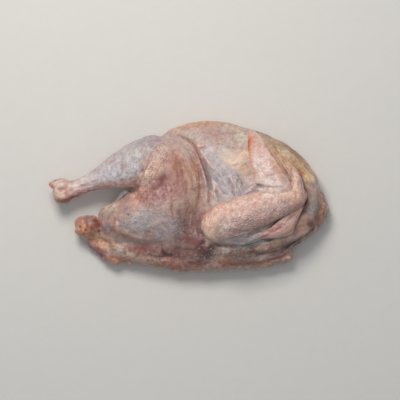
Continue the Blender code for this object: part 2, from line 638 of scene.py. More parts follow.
@dataclass(frozen=True)
class Fold(Mark):
    """A fold that follows a path on the skin and runs out at both ends.

    A ridge has the section e^-(d/wide)^2, and a groove the sharper e^-(d/wide)^1.3. A lap is skin that
    lies over its neighbour: it stands up on the left of its path and drops to the right within a
    third of its width. A slow noise makes the height uneven along the way.

    Attributes:
        form: Its section.
        path: Its corners in plan.
        wide: Its half width.
        height: Its depth or height.
        colour: The colour along its line, or nothing; a groove's dark colour is partly painted shade.
        strength: How much of the ground that colour covers.
        fade: The share of its length over which either end runs out.
    """

    form: Form
    path: Path
    wide: float
    height: float
    colour: str = ""
    strength: float = 0.6
    fade: float = 0.22

    def run(self, surface: Surface) -> tuple[np.ndarray, ...]:
        """Gives the near points, their distance from the path and how full the fold is there."""
        near, far, place = surface.from_path(surface.lifted(self.path), self.wide * 2.6)
        full = ease(0, self.fade, place) * ease(0, self.fade, 1 - place)
        uneven = 1 + 0.45 * lattice_noise(surface.points[near], 11, 301)
        return near, far, full * uneven

    def heights(self, surface: Surface) -> np.ndarray:
        """Gives the fold's height at each of the surface's points."""
        found = np.zeros(len(surface.points))
        near, far, full = self.run(surface)
        reach = np.abs(far) / self.wide
        if self.form is Form.GROOVE:
            body = -np.exp(-(reach**1.3))
        elif self.form is Form.RIDGE:
            body = np.exp(-(reach**2))
        else:
            body = np.exp(-(reach**2)) * np.tanh(far / (self.wide * 0.3))
        found[near] = self.height * full * body
        return found

    def cover(self, surface: Surface, ragged: np.ndarray) -> np.ndarray:
        """Gives the cover of the fold's colour, as strength times e^-(d / 0.6 wide)^2."""
        found = np.zeros(len(surface.points))
        near, far, full = self.run(surface)
        uneven = np.maximum(0.4, 1 + ragged[near] * 0.5)
        found[near] = self.strength * full * np.exp(-((far / (self.wide * 0.65 * uneven)) ** 2))
        return found


def pleats(form: Form, first: Path, last: Path, count: int, wide: float, height: float, colour: str = "",
           strength: float = 0.4, seed: int = 0) -> list[Fold]:
    """Lays folds side by side between two guide lines, each a little astray and uneven in height.

    Args:
        form: The folds' section.
        first: One guide line's corners.
        last: The other's, as many.
        count: How many folds there are, the two guides among them.
        wide: Their half width.
        height: Their depth or height.
        colour: The colour along their lines.
        strength: How much of the ground it covers.
        seed: Picks how they stray.

    Returns:
        The folds.
    """
    rng = np.random.RandomState(seed)
    start, end = np.array(first, float), np.array(last, float)
    gap = np.linalg.norm(end - start, axis=1).mean() / max(count - 1, 1)
    folds = []
    for share in np.linspace(0, 1, count):
        line = start + (end - start) * share + rng.normal(size=start.shape) * gap * 0.16
        size = rng.uniform(0.55, 1.25)
        path = tuple(tuple(corner) for corner in line.round(2))
        folds.append(Fold(form, path, wide * rng.uniform(0.8, 1.2), height * size, colour, strength * size))
    return folds


@dataclass(frozen=True)
class Area(Oval):
    """An oval area that a pattern fills; its edge fades between 0.6 and 1.1 of its radius.

    Attributes:
        turn: Degrees from +X to its axis.
    """

    turn: float

    def inside(self, surface: Surface) -> tuple[np.ndarray, np.ndarray]:
        """Gives the points inside the area and how far inside they are, 0 to 1."""
        u, v = turned(surface.points, self.x, self.y, self.turn)
        share = 1 - ease(0.6, 1.1, np.sqrt((u / self.long) ** 2 + (v / self.wide) ** 2))
        near = np.nonzero(share > 0)[0]
        return near, share[near]

    def stretched(self, points: np.ndarray, run: float, stretch: float) -> np.ndarray:
        """Gives points shortened along one direction, so that a pattern on them is drawn out."""
        along, across = turned(points, self.x, self.y, run)
        return np.column_stack([along / stretch, across, points[:, 2]])


@dataclass(frozen=True)
class Wrinkles(Area):
    """Fine folds that run one way inside an oval area.

    The height is 0.35 - 2|n| of a noise n that is stretched along the run, so the crests are sharp and
    the valleys round.

    Attributes:
        run: Degrees from +X to the folds' direction.
        pitch: Distance from fold to fold.
        stretch: How many pitches long a fold is.
        height: The folds' height.
        seed: Picks the pattern.
        colour: The colour between the crests, or nothing; a dark one is partly painted shade.
        strength: How much of the ground that colour covers.
    """

    run: float
    pitch: float
    stretch: float
    height: float
    seed: int
    colour: str = ""
    strength: float = 0.4

    def crests(self, surface: Surface) -> tuple[np.ndarray, ...]:
        """Gives the points inside, how far inside they are, and |n| there."""
        near, share = self.inside(surface)
        points = surface.points[near]
        place = self.stretched(points, self.run, self.stretch)
        place[:, 1] += lattice_noise(points, self.pitch * 5, self.seed + 50) * self.pitch * 0.8
        return near, share, np.abs(layered_noise(place, self.pitch * 1.6, self.seed, 2))

    def heights(self, surface: Surface) -> np.ndarray:
        """Gives the folds' height at each of the surface's points."""
        found = np.zeros(len(surface.points))
        near, share, fold = self.crests(surface)
        found[near] = self.height * share * (0.35 - 2 * np.minimum(fold, 0.6))
        return found

    def cover(self, surface: Surface, ragged: np.ndarray) -> np.ndarray:
        """Gives the cover of the colour in the valleys."""
        found = np.zeros(len(surface.points))
        near, share, fold = self.crests(surface)
        found[near] = self.strength * share * ease(0.2, 0.55, fold)
        return found


@dataclass(frozen=True)
class Net(Area):
    """Skin crazed into small cushions with creases between them, on random cells.

    The height rises from a crease as an ease of the gap between cells.

    Attributes:
        run: Degrees from +X to the way the cells are drawn out.
        pitch: The cells' size.
        stretch: How many times longer than wide they are.
        height: How far a cushion stands over its creases.
        seed: Picks the cells.
        colour: The creases' colour, or nothing; a dark one is partly painted shade.
        strength: How much of the ground that colour covers.
    """

    run: float
    pitch: float
    stretch: float
    height: float
    seed: int
    colour: str = ""
    strength: float = 0.5

    def gaps(self, surface: Surface) -> tuple[np.ndarray, ...]:
        """Gives the points inside, how far inside they are, and their distance from a crease."""
        near, share = self.inside(surface)
        points = surface.points[near]
        sway = np.column_stack([lattice_noise(points, self.pitch * 2.5, self.seed + k) for k in (1, 2, 3)])
        place = self.stretched(points + sway * self.pitch * 0.5, self.run, self.stretch)
        return near, share, cell_gap(place, self.pitch, self.seed)

    def heights(self, surface: Surface) -> np.ndarray:
        """Gives the cushions' height at each of the surface's points."""
        found = np.zeros(len(surface.points))
        near, share, gap = self.gaps(surface)
        found[near] = self.height * share * (ease(0, 0.55, gap) - 0.6)
        return found

    def cover(self, surface: Surface, ragged: np.ndarray) -> np.ndarray:
        """Gives the cover of the creases' colour."""
        found = np.zeros(len(surface.points))
        near, share, gap = self.gaps(surface)
        patchy = np.clip(0.5 + ragged[near] * 0.8, 0, 1)
        found[near] = self.strength * share * patchy * (1 - ease(0.03, 0.34, gap))
        return found


@dataclass(frozen=True)
class Follicles(Mark):
    """Goose flesh in staggered rows along a path: small swellings, each with a dark feather pit.

    Rows are a pitch times 0.87 apart, every second row is shifted by half a pitch, and each follicle
    strays a little. A swelling is e^-(d / 0.4 pitch)^2 and its pit e^-(d / pit)^2.

    Attributes:
        path: The corners of the line that the rows follow.
        reach: How far to either side the rows go.
        pitch: Distance from follicle to follicle.
        height: How far a swelling stands out.
        pit: A pit's radius.
        colour: The pits' colour.
        strength: How much of the ground that colour covers.
        seed: Picks how the follicles stray.
    """

    path: Path
    reach: float
    pitch: float
    height: float
    pit: float
    colour: str
    strength: float
    seed: int

    def nearest(self, surface: Surface) -> tuple[np.ndarray, ...]:
        """Gives the points in reach, how full the pattern is there and the way to a follicle."""
        line = surface.lifted(self.path)
        length = np.linalg.norm(np.diff(line, axis=0), axis=1).sum()
        near, far, place = surface.from_path(line, self.reach * 1.3)
        full = ease(0, 0.12, place) * ease(0, 0.12, 1 - place)
        full = full * (1 - ease(0.75, 1.2, np.abs(far) / self.reach))
        along, across = place * length / self.pitch, far / (self.pitch * 0.87)
        lattice = Lattice(self.seed)
        row = np.round(across).astype(int)
        best = np.full(len(near), 9.0)
        for step in np.ndindex(3, 3):
            at_row = row + step[0] - 1
            shift = (at_row % 2) * 0.5
            at = np.round(along - shift).astype(int) + step[1] - 1
            stray = lattice.at(np.column_stack([at, at_row, np.zeros_like(at)])) * 0.22
            gap = np.hypot(along - at - shift - stray[:, 0], (across - at_row - stray[:, 1]) * 0.87)
            best = np.minimum(best, gap)
        return near, full, best * self.pitch

    def heights(self, surface: Surface) -> np.ndarray:
        """Gives the swellings' height at each of the surface's points."""
        found = np.zeros(len(surface.points))
        near, full, gap = self.nearest(surface)
        swelling = np.exp(-((gap / (0.4 * self.pitch)) ** 2)) - 0.3
        found[near] = self.height * full * (swelling - 0.9 * np.exp(-((gap / self.pit) ** 2)))
        return found

    def cover(self, surface: Surface, ragged: np.ndarray) -> np.ndarray:
        """Gives the cover of the pits' colour."""
        found = np.zeros(len(surface.points))
        near, full, gap = self.nearest(surface)
        patchy = np.clip(0.9 + ragged[near] * 0.8, 0.2, 1.2)
        found[near] = self.strength * full * patchy * np.exp(-((gap / self.pit) ** 2))
        return found


@dataclass(frozen=True)
class Patch(Oval):
    """An oval of colour with a ragged, soft edge.

    Attributes:
        colour: Its sRGB hex colour.
        strength: How much of the ground it covers, 0 to 1.
        turn: Degrees from +X to its axis.
        soft: Where the edge starts to fade, as a share of the radius.
    """

    colour: str
    strength: float = 0.8
    turn: float = 0.0
    soft: float = 0.35

    def cover(self, surface: Surface, ragged: np.ndarray) -> np.ndarray:
        """Gives how much of the ground the patch covers at each point."""
        u, v = turned(surface.points, self.x, self.y, self.turn)
        r = np.sqrt((u / self.long) ** 2 + (v / self.wide) ** 2) + ragged * 0.3
        return self.strength * (1 - ease(self.soft, 1.3, r))


@dataclass(frozen=True)
class Rucks(Mark):
    """Level rucks and mottling of the skin on steep sides near the board.

    Their height and their colour follow noise that is drawn out along the side.

    Attributes:
        top: The height at which they have faded out.
        pitch: The noise's cell.
        height: How far they stand out.
        seed: Picks the noise.
        colour: Their sRGB hex colour.
        strength: How much of the ground it covers.
    """

    top: float
    pitch: float
    height: float
    seed: int
    colour: str = ""
    strength: float = 0.5

    def noise(self, surface: Surface) -> tuple[np.ndarray, np.ndarray]:
        """Gives how steep and low each point lies, less towards the keel, and the noise there."""
        steep = 1 - ease(0.35, 0.8, np.abs(surface.normals()[:, 2]))
        low = 1 - ease(self.top * 0.6, self.top, surface.points[:, 2])
        low *= 1 - 0.75 * ease(-10, 50, surface.points[:, 1])
        return steep * low, layered_noise(surface.points * (0.85, 0.85, 1.05), self.pitch, self.seed, 3)

    def heights(self, surface: Surface) -> np.ndarray:
        """Gives the rucks' height at each of the surface's points, with a crease where the noise is 0."""
        share, noise = self.noise(surface)
        return self.height * share * (noise + 0.9 * ease(0, 0.3, np.abs(noise)) - 0.7)

    def cover(self, surface: Surface, ragged: np.ndarray) -> np.ndarray:
        """Gives how much of the ground the mottling covers at each point."""
        share, noise = self.noise(surface)
        return self.strength * share * ease(0.05, 0.6, noise)


@dataclass(frozen=True)
class Streak(Mark):
    """A line of colour along a path, as strength times e^-(d/wide)^2.

    Attributes:
        path: Its corners in plan.
        wide: Its half width.
        colour: Its sRGB hex colour.
        strength: How much of the ground it covers, 0 to 1.
        flat: Whether it runs along an edge and colours it from top to bottom.
    """

    path: Path
    wide: float
    colour: str
    strength: float = 0.8
    flat: bool = False

    def cover(self, surface: Surface, ragged: np.ndarray) -> np.ndarray:
        """Gives how much of the ground the streak covers at each point."""
        found = np.zeros(len(surface.points))
        near, far, place = surface.from_path(surface.lifted(self.path), self.wide * 3, self.flat)
        ends = ease(0, 0.15, place) * ease(0, 0.15, 1 - place)
        uneven = np.maximum(0.3, 1 + ragged[near] * 0.8)
        found[near] = self.strength * ends * np.exp(-((far / (self.wide * uneven)) ** 2))
        return found


def speckle(x: float, y: float, long: float, wide: float, turn: float, count: int, size: float,
            colours: tuple[str, ...], strength: float, seed: int) -> list[Mark]:
    """Scatters small uneven spots over an oval area, by chance.

    Args:
        x: The area's middle in plan.
        y: The area's middle in plan.
        long: Its radius along its axis.
        wide: Its radius across it.
        turn: Degrees from +X to its axis.
        count: How many spots there are.
        size: Their mean radius.
        colours: Their sRGB hex colours, taken in turn.
        strength: How much of the ground they cover.
        seed: Picks their places and sizes.

    Returns:
        The spots.
    """
    chance = np.random.default_rng(seed)
    angle, share = chance.uniform(0, 2 * np.pi, count), np.sqrt(chance.uniform(0, 1, count))
    u, v, axis = long * share * np.cos(angle), wide * share * np.sin(angle), np.radians(turn)
    across, up = x + u * np.cos(axis) - v * np.sin(axis), y + u * np.sin(axis) + v * np.cos(axis)
    radius, tilt = size * chance.uniform(0.6, 1.5, count), chance.uniform(0, 180, count)
    return [
        Patch(float(across[i]), float(up[i]), float(radius[i]) * 1.5, float(radius[i]),
              colours[i % len(colours)], strength, float(tilt[i]))
        for i in range(count)
    ]


def beads(path: Path, count: int, size: float, height: float, colour: str, strength: float,
          seed: int) -> list[Mark]:
    """Sets small swellings along an edge, by chance, as lumps of fat under its skin.

    Args:
        path: The edge in plan.
        count: How many there are.
        size: Their mean radius.
        height: Their mean height.
        colour: Their sRGB hex colour.
        strength: How much of the ground they cover.
        seed: Picks their places and sizes.

    Returns:
        The swellings.
    """
    chance = np.random.default_rng(seed)
    line = np.array(path, float)
    run = np.concatenate([[0], np.cumsum(np.linalg.norm(np.diff(line, axis=0), axis=1))])
    places = np.sort(chance.uniform(0, run[-1], count))
    across = np.column_stack([np.interp(places, run, column) for column in line.T])
    across = across + chance.normal(0, 0.8, (count, 2))
    radius, rise = size * chance.uniform(0.6, 1.5, count), height * chance.uniform(0.4, 1.6, count)
    return [
        Bulge(float(x), float(y), float(r) * 1.2, float(r), float(h), 0.0, colour, strength)
        for (x, y), r, h in zip(across, radius, rise)
    ]


class Tones:
    """Colours laid over one another on a surface, in linear light."""

    def __init__(self, surface: Surface, ground: str, seed: int) -> None:
        """Starts with one ground colour.

        Args:
            surface: The surface that is coloured.
            ground: The ground's sRGB hex colour.
            seed: Picks the raggedness of the edges.
        """
        self.surface = surface
        self.colour = np.tile(linear(ground), (len(surface.points), 1))
        self.ragged = layered_noise(surface.points, 16, seed, 4)

    def lay(self, marks: list[Mark]) -> None:
        """Lays the coloured marks over the ground in order.

        Args:
            marks: The lowest first.
        """
        for mark in marks:
            if mark.colour:
                self.mix(mark.colour, mark.cover(self.surface, self.ragged))

    def mix(self, colour: str, cover: np.ndarray) -> None:
        """Mixes one colour in by a cover of its own.

        Args:
            colour: The sRGB hex colour.
            cover: How much of the ground it covers at each point, 0 to 1.
        """
        share = np.clip(cover, 0, 1)[:, None]
        self.colour += (linear(colour) - self.colour) * share


@dataclass(frozen=True)
class Sheet:
    """A thin closed flap of skin, drawn through rows of points.

    The middle surface is a smooth curve through the rows in both directions. Its two faces stand off
    it by half the thickness times (1 - (2s-1)^6)(1 - (2t-1)^4) to the power 1/2, so they meet at the rim.

    Attributes:
        rows: The rows, each with as many points, in millimetres.
        thick: The thickness in the middle.
        steps: Points on each stretch between two rows, and between two points of a row.
    """

    rows: tuple[Path, ...]
    thick: float
    steps: tuple[int, int] = (14, 14)

    def surface(self, name: str) -> Surface:
        """Builds the flap.

        Args:
            name: The mesh's name.

        Returns:
            The flap as a surface, closed along its rim.
        """
        net = np.array(self.rows, float)
        rows, columns = net.shape[:2]
        long = smooth_line(net.reshape(rows, -1), self.steps[0]).reshape(-1, columns, 3)
        count = len(long)
        middle = smooth_line(long.transpose(1, 0, 2).reshape(columns, -1), self.steps[1])
        middle = middle.reshape(-1, count, 3).transpose(1, 0, 2)
        outward = np.cross(np.gradient(middle, axis=0), np.gradient(middle, axis=1))
        outward /= np.linalg.norm(outward, axis=2)[..., None]
        s = np.linspace(-1, 1, middle.shape[0])[:, None]
        t = np.linspace(-1, 1, middle.shape[1])[None, :]
        half = np.sqrt(np.clip((1 - s**6) * (1 - t**4), 0, 1))[..., None] * self.thick / 2
        index = np.arange(middle.shape[0] * middle.shape[1]).reshape(middle.shape[:2])
        quads = np.stack([index[:-1, :-1], index[1:, :-1], index[1:, 1:], index[:-1, 1:]], axis=-1)
        quads = quads.reshape(-1, 4)
        faces_apart = outward * half
        points = np.vstack([(middle + faces_apart).reshape(-1, 3), (middle - faces_apart).reshape(-1, 3)])
        faces = quads.tolist() + (quads[:, ::-1] + index.size).tolist()
        mesh = bpy.data.meshes.new(name)
        mesh.from_pydata(points.tolist(), [], faces)
        work = bmesh.new()
        work.from_mesh(mesh)
        bmesh.ops.remove_doubles(work, verts=work.verts, dist=1e-4)
        bmesh.ops.recalc_face_normals(work, faces=work.faces)
        work.to_mesh(mesh)
        work.free()
        return Surface(mesh)


# ---------------------------------------------------------------- materials


@dataclass
class Weave:
    """A material's node tree under construction."""

    material: bpy.types.Material

    def __post_init__(self) -> None:
        """Switches the material to nodes and finds its shader."""
        self.material.use_nodes = True
        self.tree = self.material.node_tree
        self.shader = self.tree.nodes["Principled BSDF"]

    def add(self, kind: str, settings: dict | None = None, **links) -> bpy.types.Node:
        """Adds a node, sets it up and links its inputs.

        Args:
            kind: The node's type without the ShaderNode in front.
            settings: Its own properties by name.
            **links: An input's name with _ for a space, or its number after an i, and what goes in:
                a socket or a value.

        Returns:
            The new node.
        """
        node = self.tree.nodes.new("ShaderNode" + kind)
        for name, value in (settings or {}).items():
            setattr(node, name, value)
        for name, value in links.items():
            self.feed(node, int(name[1:]) if name[1:].isdigit() else name.replace("_", " "), value)
        return node

    def feed(self, node: bpy.types.Node, place: int | str, value: object) -> None:
        """Links a socket into an input, or sets the input's value.

        Args:
            node: The node with the input.
            place: The input's name or number.
            value: A socket to link, or a plain value.
        """
        if isinstance(value, bpy.types.NodeSocket):
            self.tree.links.new(value, node.inputs[place])
        else:
            node.inputs[place].default_value = value

    def mixed(self, share: object, one: object, other: object, blend: str = "MIX") -> bpy.types.NodeSocket:
        """Mixes two colours.

        Args:
            share: How much of the other colour is taken.
            one: The ground colour.
            other: The colour mixed in.
            blend: The way of mixing.

        Returns:
            The mixed colour's socket.
        """
        node = self.add("Mix", {"data_type": "RGBA", "blend_type": blend, "clamp_result": True})
        for place, value in ((0, share), (6, one), (7, other)):
            self.feed(node, place, value)
        return node.outputs[2]

    def rise(self, value: bpy.types.NodeSocket, low: float, high: float,
             to: tuple = (0, 1)) -> bpy.types.NodeSocket:
        """Maps a value from the range low to high to another range with a smooth rise."""
        settings = {"interpolation_type": "SMOOTHSTEP"}
        return self.add("MapRange", settings, i0=value, i1=low, i2=high, i3=to[0], i4=to[1]).outputs[0]

    def sum(self, operation: str, one: object, other: object = 0.0) -> bpy.types.NodeSocket:
        """Works out one sum of two values."""
        return self.add("Math", {"operation": operation}, i0=one, i1=other).outputs[0]

    def settle(self, constants: dict) -> bpy.types.Material:
        """Sets the shader's constant inputs and gives the finished material."""
        for name, value in constants.items():
            self.shader.inputs[name].default_value = value
        return self.material


@dataclass(frozen=True)
class PoultrySkin:
    """Raw poultry skin, scalded and plucked, still wet.

    The eye gets thin skin with a pinkish, slightly see-through ground, crazed into small cushions,
    darker feather pits, pale fat flecks, and small broken highlights from its wet surface.

    Attributes:
        crease: Distance between the creases that craze the skin, in metres.
        grain: Size of the fat flecks and of the finest bumps.
        mottle: Size of the faint shifts of tone.
        pit_pitch: Distance between feather pits.
        roughness: The skin's own roughness.
        wet_roughness: The roughness of the water film on it.
    """

    crease: float = 2.5 * MM
    grain: float = 1.9 * MM
    mottle: float = 6.0 * MM
    pit_pitch: float = 3.4 * MM
    roughness: float = 0.45
    wet_roughness: float = 0.22

    def material(self) -> bpy.types.Material:
        """Builds the skin's material.

        Returns:
            The material, which reads the attributes tone, pits, flecks and tight.
        """
        weave = Weave(bpy.data.materials.new("raw_poultry_skin_plucked"))
        place = weave.add("TexCoord").outputs["Object"]
        tone = weave.add("Attribute", {"attribute_name": "tone"}).outputs["Color"]
        pits = weave.add("Attribute", {"attribute_name": "pits"}).outputs["Fac"]
        flecks = weave.add("Attribute", {"attribute_name": "flecks"}).outputs["Fac"]
        tight = weave.add("Attribute", {"attribute_name": "tight"}).outputs["Fac"]

        broad = weave.add("TexNoise", None, Vector=place, Scale=1 / self.mottle, Detail=4.0, Roughness=0.65)
        fine = weave.add("TexNoise", None, Vector=place, Scale=1 / self.grain, Detail=2.0, Roughness=0.6)
        # The cushions are uneven, so the place where they are looked up sways by about half of one.
        sway = weave.add("TexNoise", None, Vector=place, Scale=0.6 / self.crease, Detail=2.0).outputs["Color"]
        sway = weave.add("VectorMath", {"operation": "SCALE"}, i0=sway, Scale=self.crease * 1.6).outputs[0]
        swayed = weave.add("VectorMath", {"operation": "ADD"}, i0=place, i1=sway).outputs[0]
        edges = {"feature": "DISTANCE_TO_EDGE"}
        cushion = weave.add("TexVoronoi", edges, Vector=swayed, Scale=1 / self.crease)
        cell = weave.add("TexVoronoi", None, Vector=place, Scale=1 / self.pit_pitch, Randomness=0.7)

        # Blood and fat under the skin make faint shifts of its tone.
        ranges = ((0.88, 1.1), (0.84, 1.12), (0.85, 1.12))
        shift = [weave.rise(broad.outputs["Fac"], 0.36, 0.64, to) for to in ranges]
        shade = weave.add("CombineColor", None, Red=shift[0], Green=shift[1], Blue=shift[2]).outputs[0]
        colour = weave.mixed(1.0, tone, shade, "MULTIPLY")
        # Wet skin has a grain of paler and darker specks.
        speck = weave.rise(fine.outputs["Fac"], 0.3, 0.7, (0.9, 1.09))
        speck = weave.add("CombineColor", None, Red=speck, Green=speck, Blue=speck).outputs[0]
        colour = weave.mixed(1.0, colour, speck, "MULTIPLY")
        # Painted shade: the creases between the cushions are made a little darker and redder.
        crease = weave.rise(cushion.outputs["Distance"], 0.12, 0.0, (0, 0.12))
        colour = weave.mixed(crease, colour, rgba("#8a4f45"))
        # Fat flecks are small and whitish.
        fat = weave.sum("MULTIPLY", weave.rise(fine.outputs["Fac"], 0.5, 0.7), flecks)
        colour = weave.mixed(weave.sum("MULTIPLY", fat, 0.4), colour, rgba("#dcd2cf"))
        # A feather pit is a darker, pinker dot.
        dot = weave.sum("MULTIPLY", weave.rise(cell.outputs["Distance"], 0.34, 0.14), pits)
        colour = weave.mixed(weave.sum("MULTIPLY", dot, 0.5), colour, rgba("#8f544a"))
        weave.feed(weave.shader, "Base Color", colour)

        rough = weave.rise(fine.outputs["Fac"], 0.3, 0.7, (self.roughness - 0.08, self.roughness + 0.1))
        weave.feed(weave.shader, "Roughness", rough)
        swell = weave.rise(cushion.outputs["Distance"], 0.0, 0.32)
        height = weave.sum("ADD", swell, weave.sum("MULTIPLY", fine.outputs["Fac"], 0.5))
        height = weave.sum("SUBTRACT", height, weave.sum("MULTIPLY", dot, 0.5))
        # Skin that is stretched tight is smoother.
        relief = weave.rise(tight, 0.0, 1.0, (0.6, 0.15))
        bump = weave.add("Bump", None, Strength=relief, Distance=0.5 * MM, Height=height)
        weave.feed(weave.shader, "Normal", bump.outputs[0])
        weave.feed(weave.shader, "Coat Normal", bump.outputs[0])
        return weave.settle({
            "Metallic": 0.0,
            "IOR": 1.4,
            "Subsurface Weight": 0.15,
            "Subsurface Radius": (1.0, 0.35, 0.2),
            "Subsurface Scale": 1.6 * MM,
            "Coat Weight": 0.35,
            "Coat Roughness": self.wet_roughness,
            "Coat IOR": 1.35,
        })


@dataclass(frozen=True)
class SawnMeat:
    """Raw dark and light poultry meat with bone dust, cut by a band saw.

    The eye gets a wet pink-red face with paler muscle grain and fat seams.

    Attributes:
        fibre: Distance between muscle fibres, drawn coarse enough to show.
    """

    fibre: float = 3.0 * MM

    def material(self) -> bpy.types.Material:
        """Builds the meat's material."""
        weave = Weave(bpy.data.materials.new("raw_turkey_meat_sawn"))
        place = weave.add("TexCoord").outputs["Object"]
        stretch = weave.add("Mapping", None, Vector=place, Scale=(0.35, 1.0, 1.0)).outputs[0]
        grain = weave.add("TexNoise", None, Vector=stretch, Scale=1 / self.fibre, Detail=5.0)
        broad = weave.add("TexNoise", None, Vector=place, Scale=1 / (25 * MM), Detail=3.0)
        colour = weave.mixed(weave.rise(broad.outputs["Fac"], 0.4, 0.6), rgba("#8f4a4c"), rgba("#c08a80"))
        colour = weave.mixed(weave.rise(grain.outputs["Fac"], 0.55, 0.75, (0, 0.6)), colour, rgba("#d8b5aa"))
        weave.feed(weave.shader, "Base Color", colour)
        bump = weave.add("Bump", None, Strength=0.5, Distance=0.6 * MM, Height=grain.outputs["Fac"])
        weave.feed(weave.shader, "Normal", bump.outputs[0])
        return weave.settle({"Roughness": 0.38, "IOR": 1.4, "Coat Weight": 0.3, "Coat Roughness": 0.2})


@dataclass(frozen=True)
class MattBoard:
    """Matt painted board, a plain pale ground that shows the bird's shadow and nothing else."""

    colour: str = "#d9d7d2"

    def material(self) -> bpy.types.Material:
        """Builds the board's material."""
        weave = Weave(bpy.data.materials.new("painted_board_matt"))
        place = weave.add("TexCoord").outputs["Object"]
        grain = weave.add("TexNoise", None, Vector=place, Scale=60.0, Detail=2.0)
        share = weave.rise(grain.outputs["Fac"], 0.3, 0.7, (0, 0.04))
        weave.feed(weave.shader, "Base Color", weave.mixed(share, rgba(self.colour), rgba("#b9b6b0")))
        return weave.settle({"Roughness": 0.8})


# ---------------------------------------------------------------- the parts of the bird

GROOVE, RIDGE, LAP = Form.GROOVE, Form.RIDGE, Form.LAP


BREAST_MARKS = [
    Patch(30, 92, 100, 26, "#c1ada2", 0.9, -3), Patch(18, 108, 72, 10, "#cda083", 0.85, 1),
    Patch(42, 89, 26, 12, "#b49591", 0.8, -8), Patch(82, 84, 18, 12, "#dcd7c3", 0.7, -14),
    Patch(62, 84, 14, 10, "#c2b3a6", 0.5, -14), Patch(28, 70, 16, 10, "#cfbebd", 0.7, -20),
    Patch(45, 38, 32, 36, "#b1a8aa", 0.95), Patch(62, 10, 36, 20, "#c6bcbc", 0.9, -15),
    Patch(72, 56, 24, 14, "#e9cab3", 0.85, 16), Patch(66, 100, 20, 7, "#d2bda3", 0.6, -14),
    Patch(63, 28, 8, 6, "#e3dbd7", 0.6), Patch(56, 62, 12, 9, "#d0c5b4", 0.7),
    Patch(82, 40, 9, 8, "#d5ad8c", 0.7), Patch(90, 22, 14, 9, "#d7c3b7", 0.7),
    Patch(38, 14, 4, 14, "#d5cec4", 0.7, 8), Bulge(40, 46, 26, 34, -2.2, 10), Bulge(60, 18, 22, 16, -1.6),
    Bulge(86, 52, 12, 8, 1.2, 20),
    # The torn edge beside the flank.
    Fold(RIDGE, ((10, 75), (17, 72.5), (23, 75), (31, 77)), 1.8, 1.8, "#e9a494", 0.95),
    Fold(GROOVE, ((12, 71.8), (20, 70.2), (28, 73.4)), 1.4, 1.8, "#6a3a3e", 0.9),
    Fold(RIDGE, ((15.5, 71), (18, 67), (20, 62)), 1.6, 1.4, "#d9a698", 0.8),
    Fold(GROOVE, ((17.5, 70), (20.5, 66), (22, 63)), 1.1, 1.1, "#7c5350", 0.8),
    # A ribbon of torn membrane.
    Fold(RIDGE, ((20, 63), (25, 58), (30, 50.5), (36, 43), (41, 37)), 3, 1.7, "#dcbcb4", 0.85),
    Streak(((22, 58), (27, 52), (33, 43.5), (40, 36.5)), 1, "#b97a70", 0.8),
    Fold(GROOVE, ((23, 64), (28.5, 58), (33.5, 50), (38, 43.5), (42, 38)), 1.2, 1.2, "#83585a", 0.75),
    # Lines drawn in towards the elbow.
    *pleats(GROOVE, ((41, 36), (50, 24), (60, 12), (68, 1)), ((97, 20), (88, 12), (79, 5), (71, -1)), 8, 1.4,
        1.4, "#7a6a72", 0.5, 3),
    Fold(GROOVE, ((71, 35), (74, 27), (72, 16), (70, 2)), 1.6, 1.8, "#71656f", 0.7),
    Fold(GROOVE, ((79, 33), (76, 27), (74, 22)), 1.4, 1.4, "#71656f", 0.6),
    Fold(GROOVE, ((56, 31), (62, 18), (68, 4)), 1.4, 1.5, "#73656d", 0.6),
    Fold(GROOVE, ((40, 29), (46, 16), (54, 3)), 1.4, 1.1, "#84787f", 0.5),
    Streak(((101, 13), (92, 8), (82, 3), (73, -1)), 3, "#8f6f7c", 0.7),
    # Fat that shows through the skin in fingers.
    *pleats(RIDGE, ((66, 46), (76, 49)), ((80, 61), (92, 58)), 4, 2, 0.6, "#e2c1a6", 0.2, 4),
    Fold(GROOVE, ((78, 44), (82, 46.5), (87, 48.5)), 2, 1.4, "#74665d", 0.6),
    Fold(GROOVE, ((70, 49), (77, 53), (85, 56)), 1.4, 0.9, "#b78f74", 0.6),
    Wrinkles(74, 54, 28, 14, 12, 26, 3, 6, 0.35, 31, "#bb9478", 0.26),
    Wrinkles(58, 16, 36, 22, -10, -56, 3.6, 5, 0.6, 32, "#7d6f78", 0.45),
    Wrinkles(30, 92, 70, 18, -2, 24, 4.2, 3, 0.5, 36, "#a3817a", 0.4),
    Net(50, 84, 60, 30, -4, 20, 4.2, 1.5, 0.35, 61, "#a68a82", 0.35),
    *speckle(40, 92, 56, 16, -4, 30, 2.6, ("#b98274", "#d9cfcb", "#c9a084", "#b0a3ab"), 0.3, 111),
    Streak(((10, 78), (14, 82), (20, 88)), 2, "#d8bdb2", 0.4),
]

